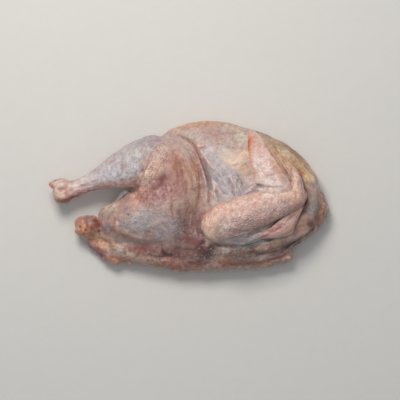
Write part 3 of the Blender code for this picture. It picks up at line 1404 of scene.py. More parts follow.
CROP_MARKS = [
    Patch(150, 52, 54, 30, "#d6af86", 0.95, -50), Patch(124, 80, 24, 9, "#bca38a", 0.85, -32),
    # Painted shade where the skin turns away at the outline: 112, 93 and 152, 68.
    Patch(112, 93, 18, 5, "#84705e", 0.7, -22), Patch(133, 53, 8, 15, "#c3a386", 0.7, 32),
    # The pale oval at 142, 65 is fat with a painted highlight on it.
    Patch(152, 68, 26, 5, "#674e38", 0.6, -42), Patch(142, 65, 12, 6, "#f2e3c7", 0.7, -30),
    Patch(146, 44, 8, 10, "#e0ba98", 0.7, -30), Patch(166, 33, 4.5, 3.5, "#e86219", 0.9),
    # The pale oval at 180, 23 is a painted highlight.
    Patch(177, 28, 12, 7, "#f2cfa2", 0.75, -10), Patch(180, 23, 9, 3, "#f6edbe", 0.55, -6),
    Patch(149, 28, 4, 8, "#f6f2e0", 0.7, 30), Patch(181, -6, 11, 24, "#a79288", 0.9, -6),
    Patch(39, -9, 5, 6, "#f4dccf", 0.5), Patch(179, -18, 6, 9, "#c8bfba", 0.7, -6),
    Patch(176, 6, 5, 9, "#9b8484", 0.6), Patch(169, -36, 15, 10, "#e2b8a1", 0.85, 30),
    # Dark browns from here to 196, -25, on the rim and in the wing's gap: partly painted shade.
    Patch(191, -33, 6, 10, "#5d3c27", 0.75, -20), Patch(193, -18, 4, 10, "#644d35", 0.75, -6),
    Patch(181, -40, 8, 5, "#56382b", 0.6, 30), Patch(170, 3, 5, 10, "#6a3d30", 0.75),
    Patch(164, -46, 12, 7, "#ae8267", 0.5, 30), Patch(178, -37, 6, 7, "#5a4031", 0.7),
    Patch(187, -30, 5, 7, "#4f392b", 0.6), Patch(196, -25, 3, 8, "#62432f", 0.7),
    Bulge(143, 64, 11, 7, 2.2, -32), Bulge(132, 50, 5, 16, -2.5, 32), Bulge(182, -8, 10, 26, 3, -6),
    Bulge(180, 26, 11, 7, 1.8, -6),
    *pleats(RIDGE, ((119, 78), (135, 66), (151, 52), (164, 38)),
        ((112, 94), (136, 83), (160, 64), (182, 40)), 6, 2.6, 1.5, "#cbb291", 0.35, 5),
    *pleats(GROOVE, ((120, 74), (136, 62), (150, 50), (161, 38)),
        ((112, 92), (136, 80.5), (159, 61), (179, 38)), 6, 1.8, 1.3, "#96785c", 0.4, 6),
    Fold(GROOVE, ((100, 97.5), (118, 91), (138, 81), (156, 67.5), (172, 52)), 1.8, 1.2, "#94715c", 0.6),
    Streak(((112, 95), (132, 85.5), (154, 70.5), (174, 52), (187, 32)), 1.6, "#c9a78c", 0.7),
    Wrinkles(150, 52, 46, 24, -50, -46, 3.4, 5, 0.7, 33, "#8c6a48", 0.55),
    Net(140, 62, 40, 18, -36, -36, 4.6, 2.2, 0.5, 62, "#9b7b5b", 0.35),
    Fold(GROOVE, ((187, 16), (180, 17), (172, 20)), 3, 1.2, "#8d7a6c", 0.4),
    # A slit beside the hand, painted dark as its shade, and a pale ribbon of skin along it.
    Fold(GROOVE, ((127, 60), (132, 51), (139, 41), (149, 28)), 2, 3, "#5d3c30", 0.9),
    Fold(RIDGE, ((131, 58), (137, 48), (144, 39), (151, 30)), 2.4, 2.2, "#dfbda4", 0.85),
    Fold(GROOVE, ((134, 57), (141, 47), (148, 38), (153, 32)), 1.3, 1.2, "#8d6248", 0.7),
    # The gap between the wing and the neck's roll, painted dark as its shade, and the skin's orange rim.
    Fold(GROOVE, ((158, 44), (163, 34), (168, 20), (171, 4), (171, -8), (167, -20), (158, -36), (152, -54)),
        3.8, 4.4, "#6b4230", 0.85, 0.1),
    Fold(GROOVE, ((191, 14), (191.5, -4), (190, -22), (182, -42)), 2.6, 2.4, "#6e4a38", 0.7),
    Streak(((193, 10), (197, -8), (198, -24), (192, -42)), 3.6, "#c08c64", 0.85),
    Streak(((196, 4), (201, -12), (201, -26), (196, -40)), 1.2, "#c39a80", 0.7),
    *beads(((194, 12), (197, -4), (198, -20), (194, -36), (186, -45), (176, -53)), 20, 2, 1, "#c9946c", 0.5,
        117),
    # The pale bluish specks on the neck roll are painted highlights.
    *speckle(181, -8, 8, 22, -4, 16, 2.2, ("#cdd2da", "#a79ca6", "#b9a28c"), 0.45, 118),
    *pleats(GROOVE, ((160, -38), (170, -36), (182, -30)), ((156, -50), (168, -48), (182, -42)), 3, 1.8, 1.2,
        "#6d5444", 0.5, 7),
    Wrinkles(180, -6, 14, 30, -4, 84, 4.2, 4, 0.35, 34, "#877980", 0.3),
    Net(178, -30, 18, 20, 0, 40, 4, 1.5, 0.4, 63, "#6b5448", 0.4),
]

HIPS_MARKS = [
    Patch(-60, -34, 52, 27, "#a6a1a0", 0.95, -6), Patch(-94, -18, 24, 14, "#c7a69e", 0.8, 18),
    Patch(-110, -41, 8, 6, "#968884", 0.5, 40), Patch(-103, -40, 6, 7, "#96674b", 0.6),
    Patch(-112, -16, 14, 10, "#efe2d2", 0.7, 20), Patch(-113, -36, 16, 10, "#a08b7b", 0.7, 80),
    Patch(-116, -40, 6, 8, "#7a7782", 0.8), Patch(-107, -46, 4.5, 5, "#8f472d", 0.8),
    Patch(-102, -32, 6, 9, "#9a684c", 0.7), Patch(-57, -50.5, 5.5, 3.6, "#8d4519", 0.85),
    Patch(-86, -25, 2, 3.4, "#845d69", 0.8, 70), Patch(-16, -23, 2.6, 2.6, "#f36a70", 0.8),
    Patch(-20, -44, 26, 17, "#b4a8ab", 0.8, 8), Patch(-12, -61, 9, 6, "#744a4b", 0.7),
    Patch(12, -65, 9, 7, "#794545", 0.75), Patch(-2, -42, 12, 22, "#72554a", 0.75, 6),
    Patch(-92, -52, 20, 6, "#a67e6d", 0.7, -26), Patch(-60, -60, 14, 4, "#caa195", 0.6, -8),
    Patch(-120, -60, 16, 6, "#ecbe9a", 0.5, -14), Patch(-126, -77, 12, 6, "#a96951", 0.7, -36),
    Bulge(-57, -34, 42, 24, 4, -6), Bulge(-80, 2, 13, 6, 4), Bulge(-118, -38, 12, 14, 2),
    Fold(GROOVE, ((-126, -52), (-110, -55), (-96, -59), (-82, -65), (-66, -68.5), (-48, -68.5), (-34, -67),
        (-18, -60)), 4.6, 2.2, "#8d6a64", 0.5, 0.12),
    Fold(RIDGE, ((-112, -44), (-98, -49), (-84, -56), (-70, -60.5), (-54, -62)), 4, 1.3, "#b39a8c", 0.3),
    Fold(GROOVE, ((-100, -41), (-90, -45), (-80, -52), (-68, -56)), 2.2, 1, "#7f6f70", 0.5),
    Fold(GROOVE, ((-12, -12), (-10, -30), (-14, -50), (-11, -66)), 5, 1.6, "#71605f", 0.5),
    *pleats(GROOVE, ((4, -10), (0, -30), (-2, -50)), ((14, -14), (10, -34), (8, -54)), 4, 2.2, 1.5,
        "#5f463f", 0.5, 8),
    Patch(-5, -51, 2.6, 2.6, "#3b1919", 0.7), Patch(2, -60, 2.2, 2.2, "#5b3a33", 0.6),
    Wrinkles(-62, -36, 44, 24, -6, -20, 4, 2, 0.25, 42, "#857c82", 0.3),
    Net(-58, -34, 46, 26, -6, 30, 4.8, 1.3, 0.35, 64, "#857b82", 0.35),
    # The whitish specks are painted highlights; the others are the skin's own spots.
    *speckle(-66, -32, 44, 22, -8, 26, 2.6, ("#c29a6e", "#b9807c", "#8d8794", "#e6e0e0"), 0.55, 101),
    *speckle(-104, -24, 16, 18, 20, 12, 2.8, ("#c49a78", "#c08a80", "#8f8a96"), 0.5, 102),
    Wrinkles(-96, -14, 28, 14, 16, 40, 3.8, 2.2, 0.45, 65, "#a37a72", 0.4),
    Net(-8, -44, 22, 30, 0, 80, 4, 1.4, 0.5, 66, "#57423d", 0.5),
    Wrinkles(-118, -38, 14, 20, 0, 80, 4.5, 3, 0.5, 41, "#8d6f66", 0.4),
]

SPINE_MARKS = [
    Patch(-122, -66, 22, 9, "#ebb28c", 0.9, -14), Patch(-104, -74, 24, 10, "#ecc7af", 0.85, -14),
    # The near-white oval at -100, -77 is a painted highlight.
    Patch(-100, -77, 8, 5, "#f6f6f4", 0.8, -10), Patch(-86, -82, 16, 4, "#eedbc2", 0.6, -8),
    # The browns along the lower edge by the board, at -98, -92 and -10, -99, are partly painted shade.
    Patch(-98, -92, 22, 6, "#ae6a4f", 0.8, -8), Patch(-64, -76, 22, 8, "#b87067", 0.85, -4),
    Patch(-70, -76, 8, 4, "#b56e67", 0.7), Patch(-33, -81, 9, 5.5, "#54142d", 0.9, 60),
    Patch(-10, -80, 24, 13, "#7d5250", 0.85), Patch(-55, -92, 34, 7, "#c4a28a", 0.8, -4),
    Patch(-10, -99, 50, 9, "#a36d58", 0.85, -2), Patch(6, -62, 16, 12, "#8d5650", 0.8),
    # The dark browns in the hollow under the shoulder, to 36, -72, are its colour and partly painted shade.
    Patch(21, -66, 5, 7, "#64263d", 0.85), Patch(18, -80, 13, 13, "#61312d", 0.9),
    Patch(32, -81, 9, 12, "#40201c", 0.85), Patch(16, -96, 14, 6, "#6e3e31", 0.8),
    Patch(-59, -83, 9, 5, "#764641", 0.6), Patch(49, -86, 7, 6, "#d1a790", 0.6),
    Patch(-44, -88, 8, 5, "#603d2e", 0.6), Patch(-39, -32, 6, 5, "#c9cacf", 0.5),
    # The pale streak at -105, -97 is pale fat with a painted highlight on it.
    Patch(36, -72, 7, 6, "#4c332c", 0.7), Streak(((-104, -97.4), (-106, -97.2)), 1.4, "#dfd8d0", 0.9),
    # The cut edge below the tail, and the pale ridge over it.
    Streak(((-151, -66), (-142, -74), (-134, -79), (-124, -86), (-114, -91)), 4.2, "#8e4454", 0.9, True),
    Fold(GROOVE, ((-150, -64.5), (-140, -71), (-130, -76.5), (-120, -82), (-112, -87)), 1.5, 1.6, "#6e3830",
        0.8),
    Wrinkles(-126, -66, 22, 9, -30, 60, 3.4, 2, 0.5, 135, "#a87c6a", 0.5),
    *speckle(-124, -66, 20, 8, -30, 12, 2, ("#c9a08c", "#b3a09e", "#b98066"), 0.5, 136),
    *pleats(GROOVE, ((-146, -71), (-136, -77), (-128, -82), (-118, -87)),
        ((-143, -75), (-134, -81), (-126, -86), (-116, -91)), 2, 1.4, 1.4, "#6b2e42", 0.6, 24),
    Fold(RIDGE, ((-120, -86), (-112, -91), (-98, -94)), 3, 1.5, "#cd9480", 0.6),
    Streak(((-120, -91), (-110, -96), (-94, -97)), 2.4, "#b96a58", 0.6, True),
    Fold(GROOVE, ((-92, -92), (-86, -94), (-82, -92)), 2, 2, "#4b3128", 0.7),
    # Wounds and veins along the strip.
    Fold(GROOVE, ((-67, -72), (-64, -76), (-61, -79), (-59, -84)), 1.8, 1.8, "#6a2c24", 0.8),
    Fold(GROOVE, ((-60, -82), (-52, -86), (-42, -88), (-32, -88)), 2.6, 2, "#694a48", 0.7),
    Fold(GROOVE, ((-37.5, -70), (-36.5, -77), (-34, -83), (-29, -86), (-20, -86.5)), 2.6, 3.4, "#43142a",
        0.9, 0.1),
    Fold(GROOVE, ((-26, -84), (-18, -91)), 1.6, 1.4, "#5d2a36", 0.7),
    Fold(GROOVE, ((-22, -74), (-8, -77), (4, -76), (12, -80)), 2.6, 1.6, "#5d4543", 0.6),
    Fold(GROOVE, ((0, -88), (10, -92), (20, -97)), 2.4, 1.4, "#5b443e", 0.5),
    Fold(GROOVE, ((21, -50), (23, -60), (25, -72)), 3, 3, "#4d2233", 0.8), Bulge(34, -84, 13, 11, -2.5, 80),
    Bulge(-100, -74, 22, 8, 1.5, -14),
    *beads(((-122, -89), (-108, -95), (-90, -97.5), (-60, -101), (-30, -104)), 22, 2.4, 1.1, "#d49a80", 0.4,
        115),
    *beads(((60, -101), (84, -101), (112, -98), (134, -93), (151, -86)), 18, 2.2, 1, "#d3a294", 0.4, 116),
    Net(32, -84, 18, 22, 0, 60, 4.4, 1.5, 0.4, 67, "#5f403c", 0.3),
    # The pale specks in that hollow are painted highlights on its cushions.
    *speckle(26, -80, 16, 14, 0, 12, 1.1, ("#d8cfc8", "#cfc6c4"), 0.45, 105),
    Wrinkles(-95, -80, 34, 12, -16, 60, 4.4, 2.2, 0.5, 37, "#a87c66", 0.35),
    Wrinkles(-20, -92, 56, 14, -5, 70, 4.8, 2, 0.6, 38, "#7a564c", 0.3),
    Wrinkles(60, -96, 46, 10, 4, 75, 4.6, 2, 0.6, 39, "#77584a", 0.35),
    *speckle(64, -95, 20, 5, 2, 12, 1.5, ("#b0602c", "#7c4326"), 0.8, 103),
    Net(-40, -84, 60, 14, -4, 10, 4.2, 1.6, 0.35, 68, "#7d5a50", 0.3),
    *speckle(-40, -84, 56, 11, -4, 22, 2.4, ("#c9a49a", "#a3524e", "#b98a70", "#6f3f4a"), 0.5, 104),
    Net(-104, -74, 30, 12, -14, 10, 3.8, 1.3, 0.35, 69, "#916c5c", 0.4),
]

SHOULDER_MARKS = [
    # Painted shade: the near-black patches and grooves under the wing, where its shadow and creases fall.
    Patch(72, -81, 28, 9, "#715f51", 0.9, -4), Patch(84, -73, 16, 3.5, "#393731", 0.75, 4),
    Patch(98, -71, 10, 4, "#444c4a", 0.8, 8), Patch(95, -84, 10, 4, "#4f423a", 0.7),
    Patch(136, -67, 16, 4, "#a17a5f", 0.7, 18), Patch(110, -61, 8, 3, "#5d423f", 0.6, 6),
    Patch(54, -77, 8, 6, "#c2aca4", 0.7, 10), Patch(58, -94, 16, 6, "#d4805b", 0.85, 4),
    # The browns along the lower edge by the board, 88, -96 and 130, -92, are partly painted shade.
    Patch(88, -96, 40, 6, "#9a684d", 0.8, 2), Patch(124, -70, 34, 6, "#9c7c62", 0.9, 16),
    Patch(120, -87, 24, 5, "#f3ccc0", 0.85, 10), Patch(130, -92, 26, 6, "#925d46", 0.85, 14),
    Patch(130, -82, 12, 3, "#70463b", 0.5, 16), Patch(146, -80, 7, 4, "#e3ab95", 0.6, 14),
    Patch(126, -91, 7, 3, "#c09382", 0.5, 14), Patch(160, -64, 26, 5, "#381919", 0.8, 32),
    Patch(100, -66, 46, 4, "#96a2a2", 0.85, 10), Bulge(72, -82, 26, 9, 6, -4),
    Fold(LAP, ((46, -68), (49, -79), (48, -90), (44, -99)), 9, 2.2, fade=0.3),
    Fold(GROOVE, ((34, -66), (48, -70.5), (66, -72), (84, -71.5), (100, -68), (120, -62), (138, -58.5),
        (153, -56)), 2.8, 4.2, "#3f3836", 0.85, 0.1),
    Fold(RIDGE, ((92, -78), (108, -75), (130, -68.5), (152, -60), (170, -52), (184, -42)), 6.5, 4.8),
    # A painted highlight along the ridge's crest.
    Streak(((122, -63), (140, -59.5), (152, -56)), 2.2, "#dcc0b0", 0.8),
    Fold(GROOVE, ((84, -80), (98, -82), (114, -82), (130, -78.5), (146, -72), (160, -64), (176, -53),
        (189, -41)), 2.8, 5.8, "#35251f", 0.9, 0.1),
    Fold(GROOVE, ((90, -73), (96, -78), (102, -82)), 2.2, 1.6, "#4e423b", 0.6),
    Fold(RIDGE, ((100, -89), (118, -87.5), (134, -82), (148, -74.5), (160, -67)), 3.4, 2.6, "#8f7b80", 0.6),
    Fold(GROOVE, ((104, -92), (120, -91), (136, -86.5), (150, -79), (160, -71)), 2, 2.6, "#4d3832", 0.75),
    Fold(RIDGE, ((106, -97), (122, -96), (136, -92), (147, -86)), 3.6, 2.6, "#b08a80", 0.7),
    *pleats(GROOVE, ((52, -90), (58, -96)), ((84, -90), (86, -98)), 5, 1.8, 1.2, "#5a3a2c", 0.6, 9),
    Wrinkles(130, -76, 46, 14, 25, 25, 4.2, 5, 0.6, 40, "#6d5244", 0.35),
    *speckle(130, -76, 46, 14, 24, 16, 2.4, ("#c9a596", "#8a6a52", "#a5858a"), 0.5, 106),
    Net(70, -82, 30, 12, -4, 0, 4.6, 1.5, 0.5, 70, "#50433c", 0.45),
    Net(130, -70, 38, 8, 20, 20, 4, 1.8, 0.4, 72, "#5b473b", 0.4),
]

SIDES_MARKS = [
    Rucks(44, 30, 2.2, 131, "#d2b09c", 0.6), Rucks(42, 18, 1, 132, "#b27d72", 0.5),
    Rucks(40, 13, 0.5, 133, "#aaa2a6", 0.6), Rucks(34, 9, 0.4, 134, "#dcc3a2", 0.5),
    Fold(GROOVE, ((-132, -84, 12), (-100, -104, 16), (-60, -108, 13), (-20, -112, 17), (20, -112, 14),
        (60, -110, 18), (100, -106, 14), (140, -96, 17)), 3.4, 1.3, "#8d6055", 0.3, 0.2),
    Fold(GROOVE, ((-90, -104, 28), (-50, -106, 24), (-10, -110, 29), (40, -109, 25), (90, -106, 28)), 3, 1.1,
        "#8d6055", 0.25, 0.2),
    Fold(GROOVE, ((168, -66, 20), (184, -50, 16), (196, -24, 20), (197, 0, 16), (193, 26, 20),
        (182, 48, 17)), 3.4, 1.6, "#93705c", 0.35, 0.2),
    Fold(GROOVE, ((186, -48, 30), (198, -24, 32), (199, 0, 28), (194, 24, 31)), 2.8, 1.1, "#93705c", 0.3,
        0.2),
    Fold(GROOVE, ((170, 62, 18), (140, 86, 15), (100, 101, 19), (50, 110, 16), (0, 110, 19), (-40, 92, 16)),
        3.4, 1.2, "#a07a66", 0.3, 0.2),
    Fold(GROOVE, ((120, 90, 34), (80, 102, 30), (30, 109, 33), (-10, 104, 30)), 3, 1, "#a07a66", 0.25, 0.2),
]


@dataclass(frozen=True)
class Trunk:
    """Breast, back, rump and neck end: the mass that the limbs are folded on.

    Attributes:
        rump: The height of the rump's centre line.
        strip: The height of the back strip's centre line.
    """

    rump: float = 25.0
    strip: float = 17.0

    def shells(self) -> list[Shell]:
        """Gives the trunk's masses: the barrel, the rump, the back strip and the neck's roll."""
        r, b = self.rump, self.strip
        sections = (
            (-120, -66, -17, 34, 14), (-107, -84, -6, 44), (-86, -93, 14, 50), (-60, -97, 52, 56),
            (-34, -100, 91, 61), (0, -106, 108, 70), (40, -103, 111, 80), (80, -100, 103.5, 84),
            (115, -93, 91, 80), (145, -78, 76, 70), (168, -64, 58, 60), (184, -54, 34, 50, 16),
            (192, -43, 7, 41, 14),
        )
        barrel = Shell(tuple(trunk_station(*s) for s in sections), (0.45, 0.45), True)
        rump = (
            Station(-98, -42, r - 3, 30, 36), Station(-70, -36, r - 1, 40, 44),
            Station(-38, -36, r + 1, 44, 45), Station(0, -44, r - 1, 44, 38),
        )
        back = (
            Station(-136, -65, b - 7, 12, 14), Station(-112, -78, b - 4, 15.5, 18),
            Station(-78, -81, b - 1, 16, 22), Station(-40, -86, b + 1, 17, 24),
            Station(0, -91, b + 1, 18, 24), Station(70, -90, b, 17, 23), Station(139, -82, b - 3, 16, 18),
        )
        neck = (
            Station(174, 30, 26, 12, 20), Station(181, 2, 25, 14, 22), Station(181, -22, 23, 15, 20),
            Station(168, -46, 20, 14, 18),
        )
        return [barrel, Shell(rump), Shell(back), Shell(neck)]

    def breast(self) -> list[Mark]:
        """Gives the breast's tones and folds: thin skin that is drawn in under the wing, over fat."""
        return BREAST_MARKS

    def crop(self) -> list[Mark]:
        """Gives the neck end's tones and folds: yellow fat in long rolls, and the bluish neck roll."""
        return CROP_MARKS

    def hips(self) -> list[Mark]:
        """Gives the rump's tones and folds: bluish skin over the belly's fat, and the groove below."""
        return HIPS_MARKS

    def spine(self) -> list[Mark]:
        """Gives the back strip's tones and folds, from the tail to the shoulder, with its cut edge."""
        return SPINE_MARKS

    def shoulder(self) -> list[Mark]:
        """Gives the tones and folds below the wing: long rolls of skin that run up to the neck."""
        return SHOULDER_MARKS

    def sides(self) -> list[Mark]:
        """Gives the steep sides' mottling, and the creases that run along them above the board."""
        return SIDES_MARKS

    def marks(self) -> list[Mark]:
        """Gives everything that is worked into the trunk's skin, in order."""
        return self.sides() + self.breast() + self.crop() + self.hips() + self.spine() + self.shoulder()


SHANK_MARKS = [
    Patch(-100, 44, 62, 30, "#c4bebe", 0.95, 22), Patch(-118, 33, 30, 11, "#cecdd1", 0.8, 24),
    Patch(-56, 80, 26, 14, "#a39fa2", 0.85, 8), Patch(-45, 84, 12, 8, "#a99197", 0.6, 8),
    # Painted light: the pale ovals at -92, 29 and -98, 18 offset the lamp's shade on the drumstick's lower
    # side.
    Patch(-80, 62, 26, 10, "#c1c3ba", 0.6, 28), Patch(-92, 29, 34, 8, "#dddbdc", 0.7, 12),
    Patch(-98, 18, 40, 6, "#f3cdc0", 0.8, 8), Patch(-122, 14, 20, 4, "#be6f5c", 0.6, 4),
    Patch(-150, 16, 30, 13, "#eadfdc", 0.9, 14), Patch(-150, 8, 26, 5, "#b87363", 0.7, 10),
    Patch(-185, 9, 20, 20, "#d5b4a4", 0.95), Patch(-186, 19, 9, 5, "#e8d1c3", 0.8),
    Patch(-183, 3, 7, 4.5, "#ebd7c0", 0.9, -10), Patch(-183, 11, 6, 2.6, "#a68d8a", 0.8),
    Patch(-173, 9, 6, 10, "#deb5a2", 0.7), Patch(-198.5, 16, 3.4, 6, "#cd7464", 0.85, 70),
    Patch(-192, 24.5, 4, 1.8, "#2a2219", 0.7, 35), Patch(-190, -4, 5, 4, "#d79877", 0.8),
    Patch(-178, -6, 14, 4, "#833d25", 0.8, 8), Patch(-166, -1, 12, 4, "#83291b", 0.8, 12),
    Streak(((-113, 50), (-108, 52), (-102, 56)), 2.2, "#b77672", 0.85),
    Streak(((-116, 47), (-110, 48)), 1.4, "#b77672", 0.7), Patch(-126, 38, 7, 4, "#d9b1a6", 0.5, 30),
    # The hock's two knuckles, the notch between them, and its chopped end.
    Bulge(-184, 18.5, 9, 6, 2, 4), Bulge(-183, 1, 9, 6.5, 2.6), Bulge(-171, 12, 6, 12, -1.4),
    Fold(GROOVE, ((-192, 9), (-187, 11), (-181, 10.5), (-175, 13), (-170, 14)), 2.6, 2, "#b98278", 0.6),
    Fold(GROOVE, ((-190, 7), (-191, 1), (-187, -4)), 2, 0.8, "#c99c8c", 0.5),
    Fold(GROOVE, ((-177, 9), (-174, 4), (-175, -3)), 2.4, 1, "#c08c7c", 0.5),
    # Fine lines along the shank, and along the drumstick where it meets the thigh.
    *pleats(GROOVE, ((-158, 16), (-142, 20), (-126, 26)), ((-156, 8), (-140, 12), (-122, 14)), 5, 1.7, 1,
        "#96746e", 0.5, 11),
    *pleats(GROOVE, ((-50, 63), (-58, 48), (-66, 28), (-73, 10)),
        ((-57, 62), (-67, 46), (-76, 28), (-82, 12)), 3, 1.5, 0.9, "#8c7c76", 0.45, 12),
    *pleats(GROOVE, ((-74, 28), (-76, 18), (-78, 10)), ((-94, 26), (-93, 17), (-92, 10)), 4, 1.8, 1.3,
        "#84504c", 0.6, 13),
    # A painted highlight along the drumstick's lower edge.
    Streak(((-83, 13), (-76, 15), (-72, 19)), 1.2, "#dccbc2", 0.8),
    Wrinkles(-62, 44, 14, 30, -32, 62, 4, 6, 0.4, 51, "#9a8c88", 0.35),
    Wrinkles(-88, 22, 28, 14, 12, 75, 4, 4, 0.4, 52, "#91736e", 0.4),
    Wrinkles(-148, 12, 30, 12, 14, 20, 4, 3, 0.8, 53, "#a07a70", 0.5),
    Wrinkles(-184, 9, 18, 20, 0, 20, 4.5, 1.5, 0.5, 54, "#b08a7c", 0.3),
    Wrinkles(-92, 50, 56, 24, 20, 84, 2.7, 5, 0.45, 73, "#948a96", 0.36),
    # The bluish-white specks are painted highlights; the others are the skin's own spots.
    *speckle(-104, 36, 46, 17, 22, 34, 3.2, ("#ccd2de", "#c79a9a", "#eceaea", "#b9a4b2"), 0.28, 113),
    # Painted highlights at -71, 42 and -78, 14.
    Patch(-71, 42, 7, 9, "#ecebf0", 0.7, 30), Patch(-78, 14, 7, 4, "#f6e6e4", 0.6),
    Patch(-18, 94, 10, 5, "#dcb6a0", 0.6, -20),
]

THIGH_MARKS = [
    Patch(-26, 20, 46, 54, "#c59f94", 0.95), Patch(-50, 42, 14, 40, "#f1cfbb", 0.95, -28),
    Patch(-48, 62, 9, 9, "#ac9f93", 0.7), Patch(-70, 2, 12, 20, "#e9b4a0", 0.85, -30),
    # The hollow's dark reds, -37, 22 to -46, 14, are its crimson colour and partly painted shade.
    Patch(-32, 64, 14, 12, "#d7c0af", 0.8), Patch(-37, 22, 18, 8.5, "#804843", 0.9, 40),
    Patch(-33, 28, 8, 5, "#743e37", 0.6, 40), Patch(-46, 14, 9, 6, "#7f5049", 0.7, 40),
    # The pale ovals at -48, 26 and -55, 23 are painted highlights on the ridge.
    Patch(-48, 26, 5, 9, "#f6d9c5", 0.6, -30), Patch(-55, 23, 4, 7, "#f6d8ca", 0.6, -30),
    Patch(-14, 44, 10, 22, "#b98166", 0.75, 20), Patch(-10, 28, 8, 14, "#b28178", 0.7),
    Patch(-16, 14, 7, 10, "#a16452", 0.5), Patch(-12, 4, 12, 18, "#bb9688", 0.7),
    Patch(-46, -2, 22, 12, "#cc9e95", 0.75, 20), Patch(-30, 8, 12, 10, "#e0b6b4", 0.6),
    Patch(-30, -12, 26, 8, "#c3b0a9", 0.6, 10), Patch(2, 30, 6, 22, "#dfc2ab", 0.7, 12),
    Patch(2, 66, 12, 12, "#c3b3a9", 0.8, -50), Patch(-22, 82, 14, 8, "#c6afa8", 0.7, -20),
    Streak(((-22, -4), (-23, -14), (-22, -24), (-22, -31)), 2.2, "#8f5a34", 0.65),
    Bulge(-42, 24, 18, 8, -4.6, 41), Bulge(-30, -2, 16, 8, -1.5, 20), Bulge(-48, 78, 20, 12, 1.2, 8),
    Fold(LAP, ((-48, 66), (-55, 52), (-61, 38), (-66, 22), (-72, 6), (-80, -8)), 8, 3.2),
    Fold(RIDGE, ((-27, 72), (-40, 58), (-50, 42), (-58, 26), (-66, 8), (-76, -8)), 9, 3.2),
    Fold(GROOVE, ((-73, 12), (-71, 6), (-70, 1)), 2.4, 2.4, "#7d4a40", 0.7),
    # The slit between drumstick and rump, painted near black as its shade.
    Fold(GROOVE, ((-89, 8.5), (-80, 8.2), (-71, 7)), 1.5, 4, "#2e2422", 0.95),
    Follicles(((-24, 74), (-38, 60), (-48, 44), (-56, 28), (-64, 10), (-76, -12)), 13, 4.7, 1.1, 1.25,
        "#955046", 0.95, 21),
    Follicles(((-30, 52), (-40, 36), (-52, 20), (-60, 2)), 5, 4.7, 0.8, 1.15, "#955046", 0.7, 22),
    *pleats(GROOVE, ((-44, 6), (-52, -2), (-58, -10)), ((-60, 10), (-66, 0), (-72, -10)), 5, 1.7, 1.1,
        "#8b5a52", 0.5, 14),
    *pleats(GROOVE, ((-26, 20), (-36, 8), (-48, -4)), ((-20, 4), (-30, -8), (-42, -16)), 4, 2.2, 0.6,
        "#9a6a64", 0.35, 15),
    Fold(GROOVE, ((-23, 71), (-17, 63), (-13, 55), (-8, 44), (-6, 32), (-7, 20)), 2.2, 2.2, "#6d4a3e", 0.75),
    Fold(RIDGE, ((-10, 68), (0, 52), (7, 36), (10, 18), (9, 0), (6, -14)), 7, 2.4),
    Patch(-2, 44, 5, 13, "#be8b71", 0.5, 14), Patch(-8, 22, 4, 16, "#bf887f", 0.5, -6),
    Fold(GROOVE, ((-20, 48), (-14, 36), (-12, 24), (-15, 12)), 3, 1.2, "#8a5040", 0.5),
    Wrinkles(-38, -1, 30, 18, 10, 48, 3.4, 2, 0.6, 75, "#96605a", 0.5),
    *pleats(GROOVE, ((-30, 22), (-26, 12), (-22, 0)), ((-58, 8), (-56, -4), (-52, -14)), 8, 1.6, 0.9,
        "#8c4a4c", 0.5, 137),
    *speckle(-36, 0, 30, 16, 20, 30, 1.8, ("#d39a92", "#a0646a", "#dcb8a8"), 0.55, 112),
    Patch(15, -13, 5, 8, "#765047", 0.6), Net(-14, 34, 16, 34, 10, 80, 4.4, 1.4, 0.3, 76, "#a2705c", 0.35),
    Wrinkles(-10, 82, 30, 10, -32, -36, 4, 4, 0.35, 59, "#957c74", 0.4),
]

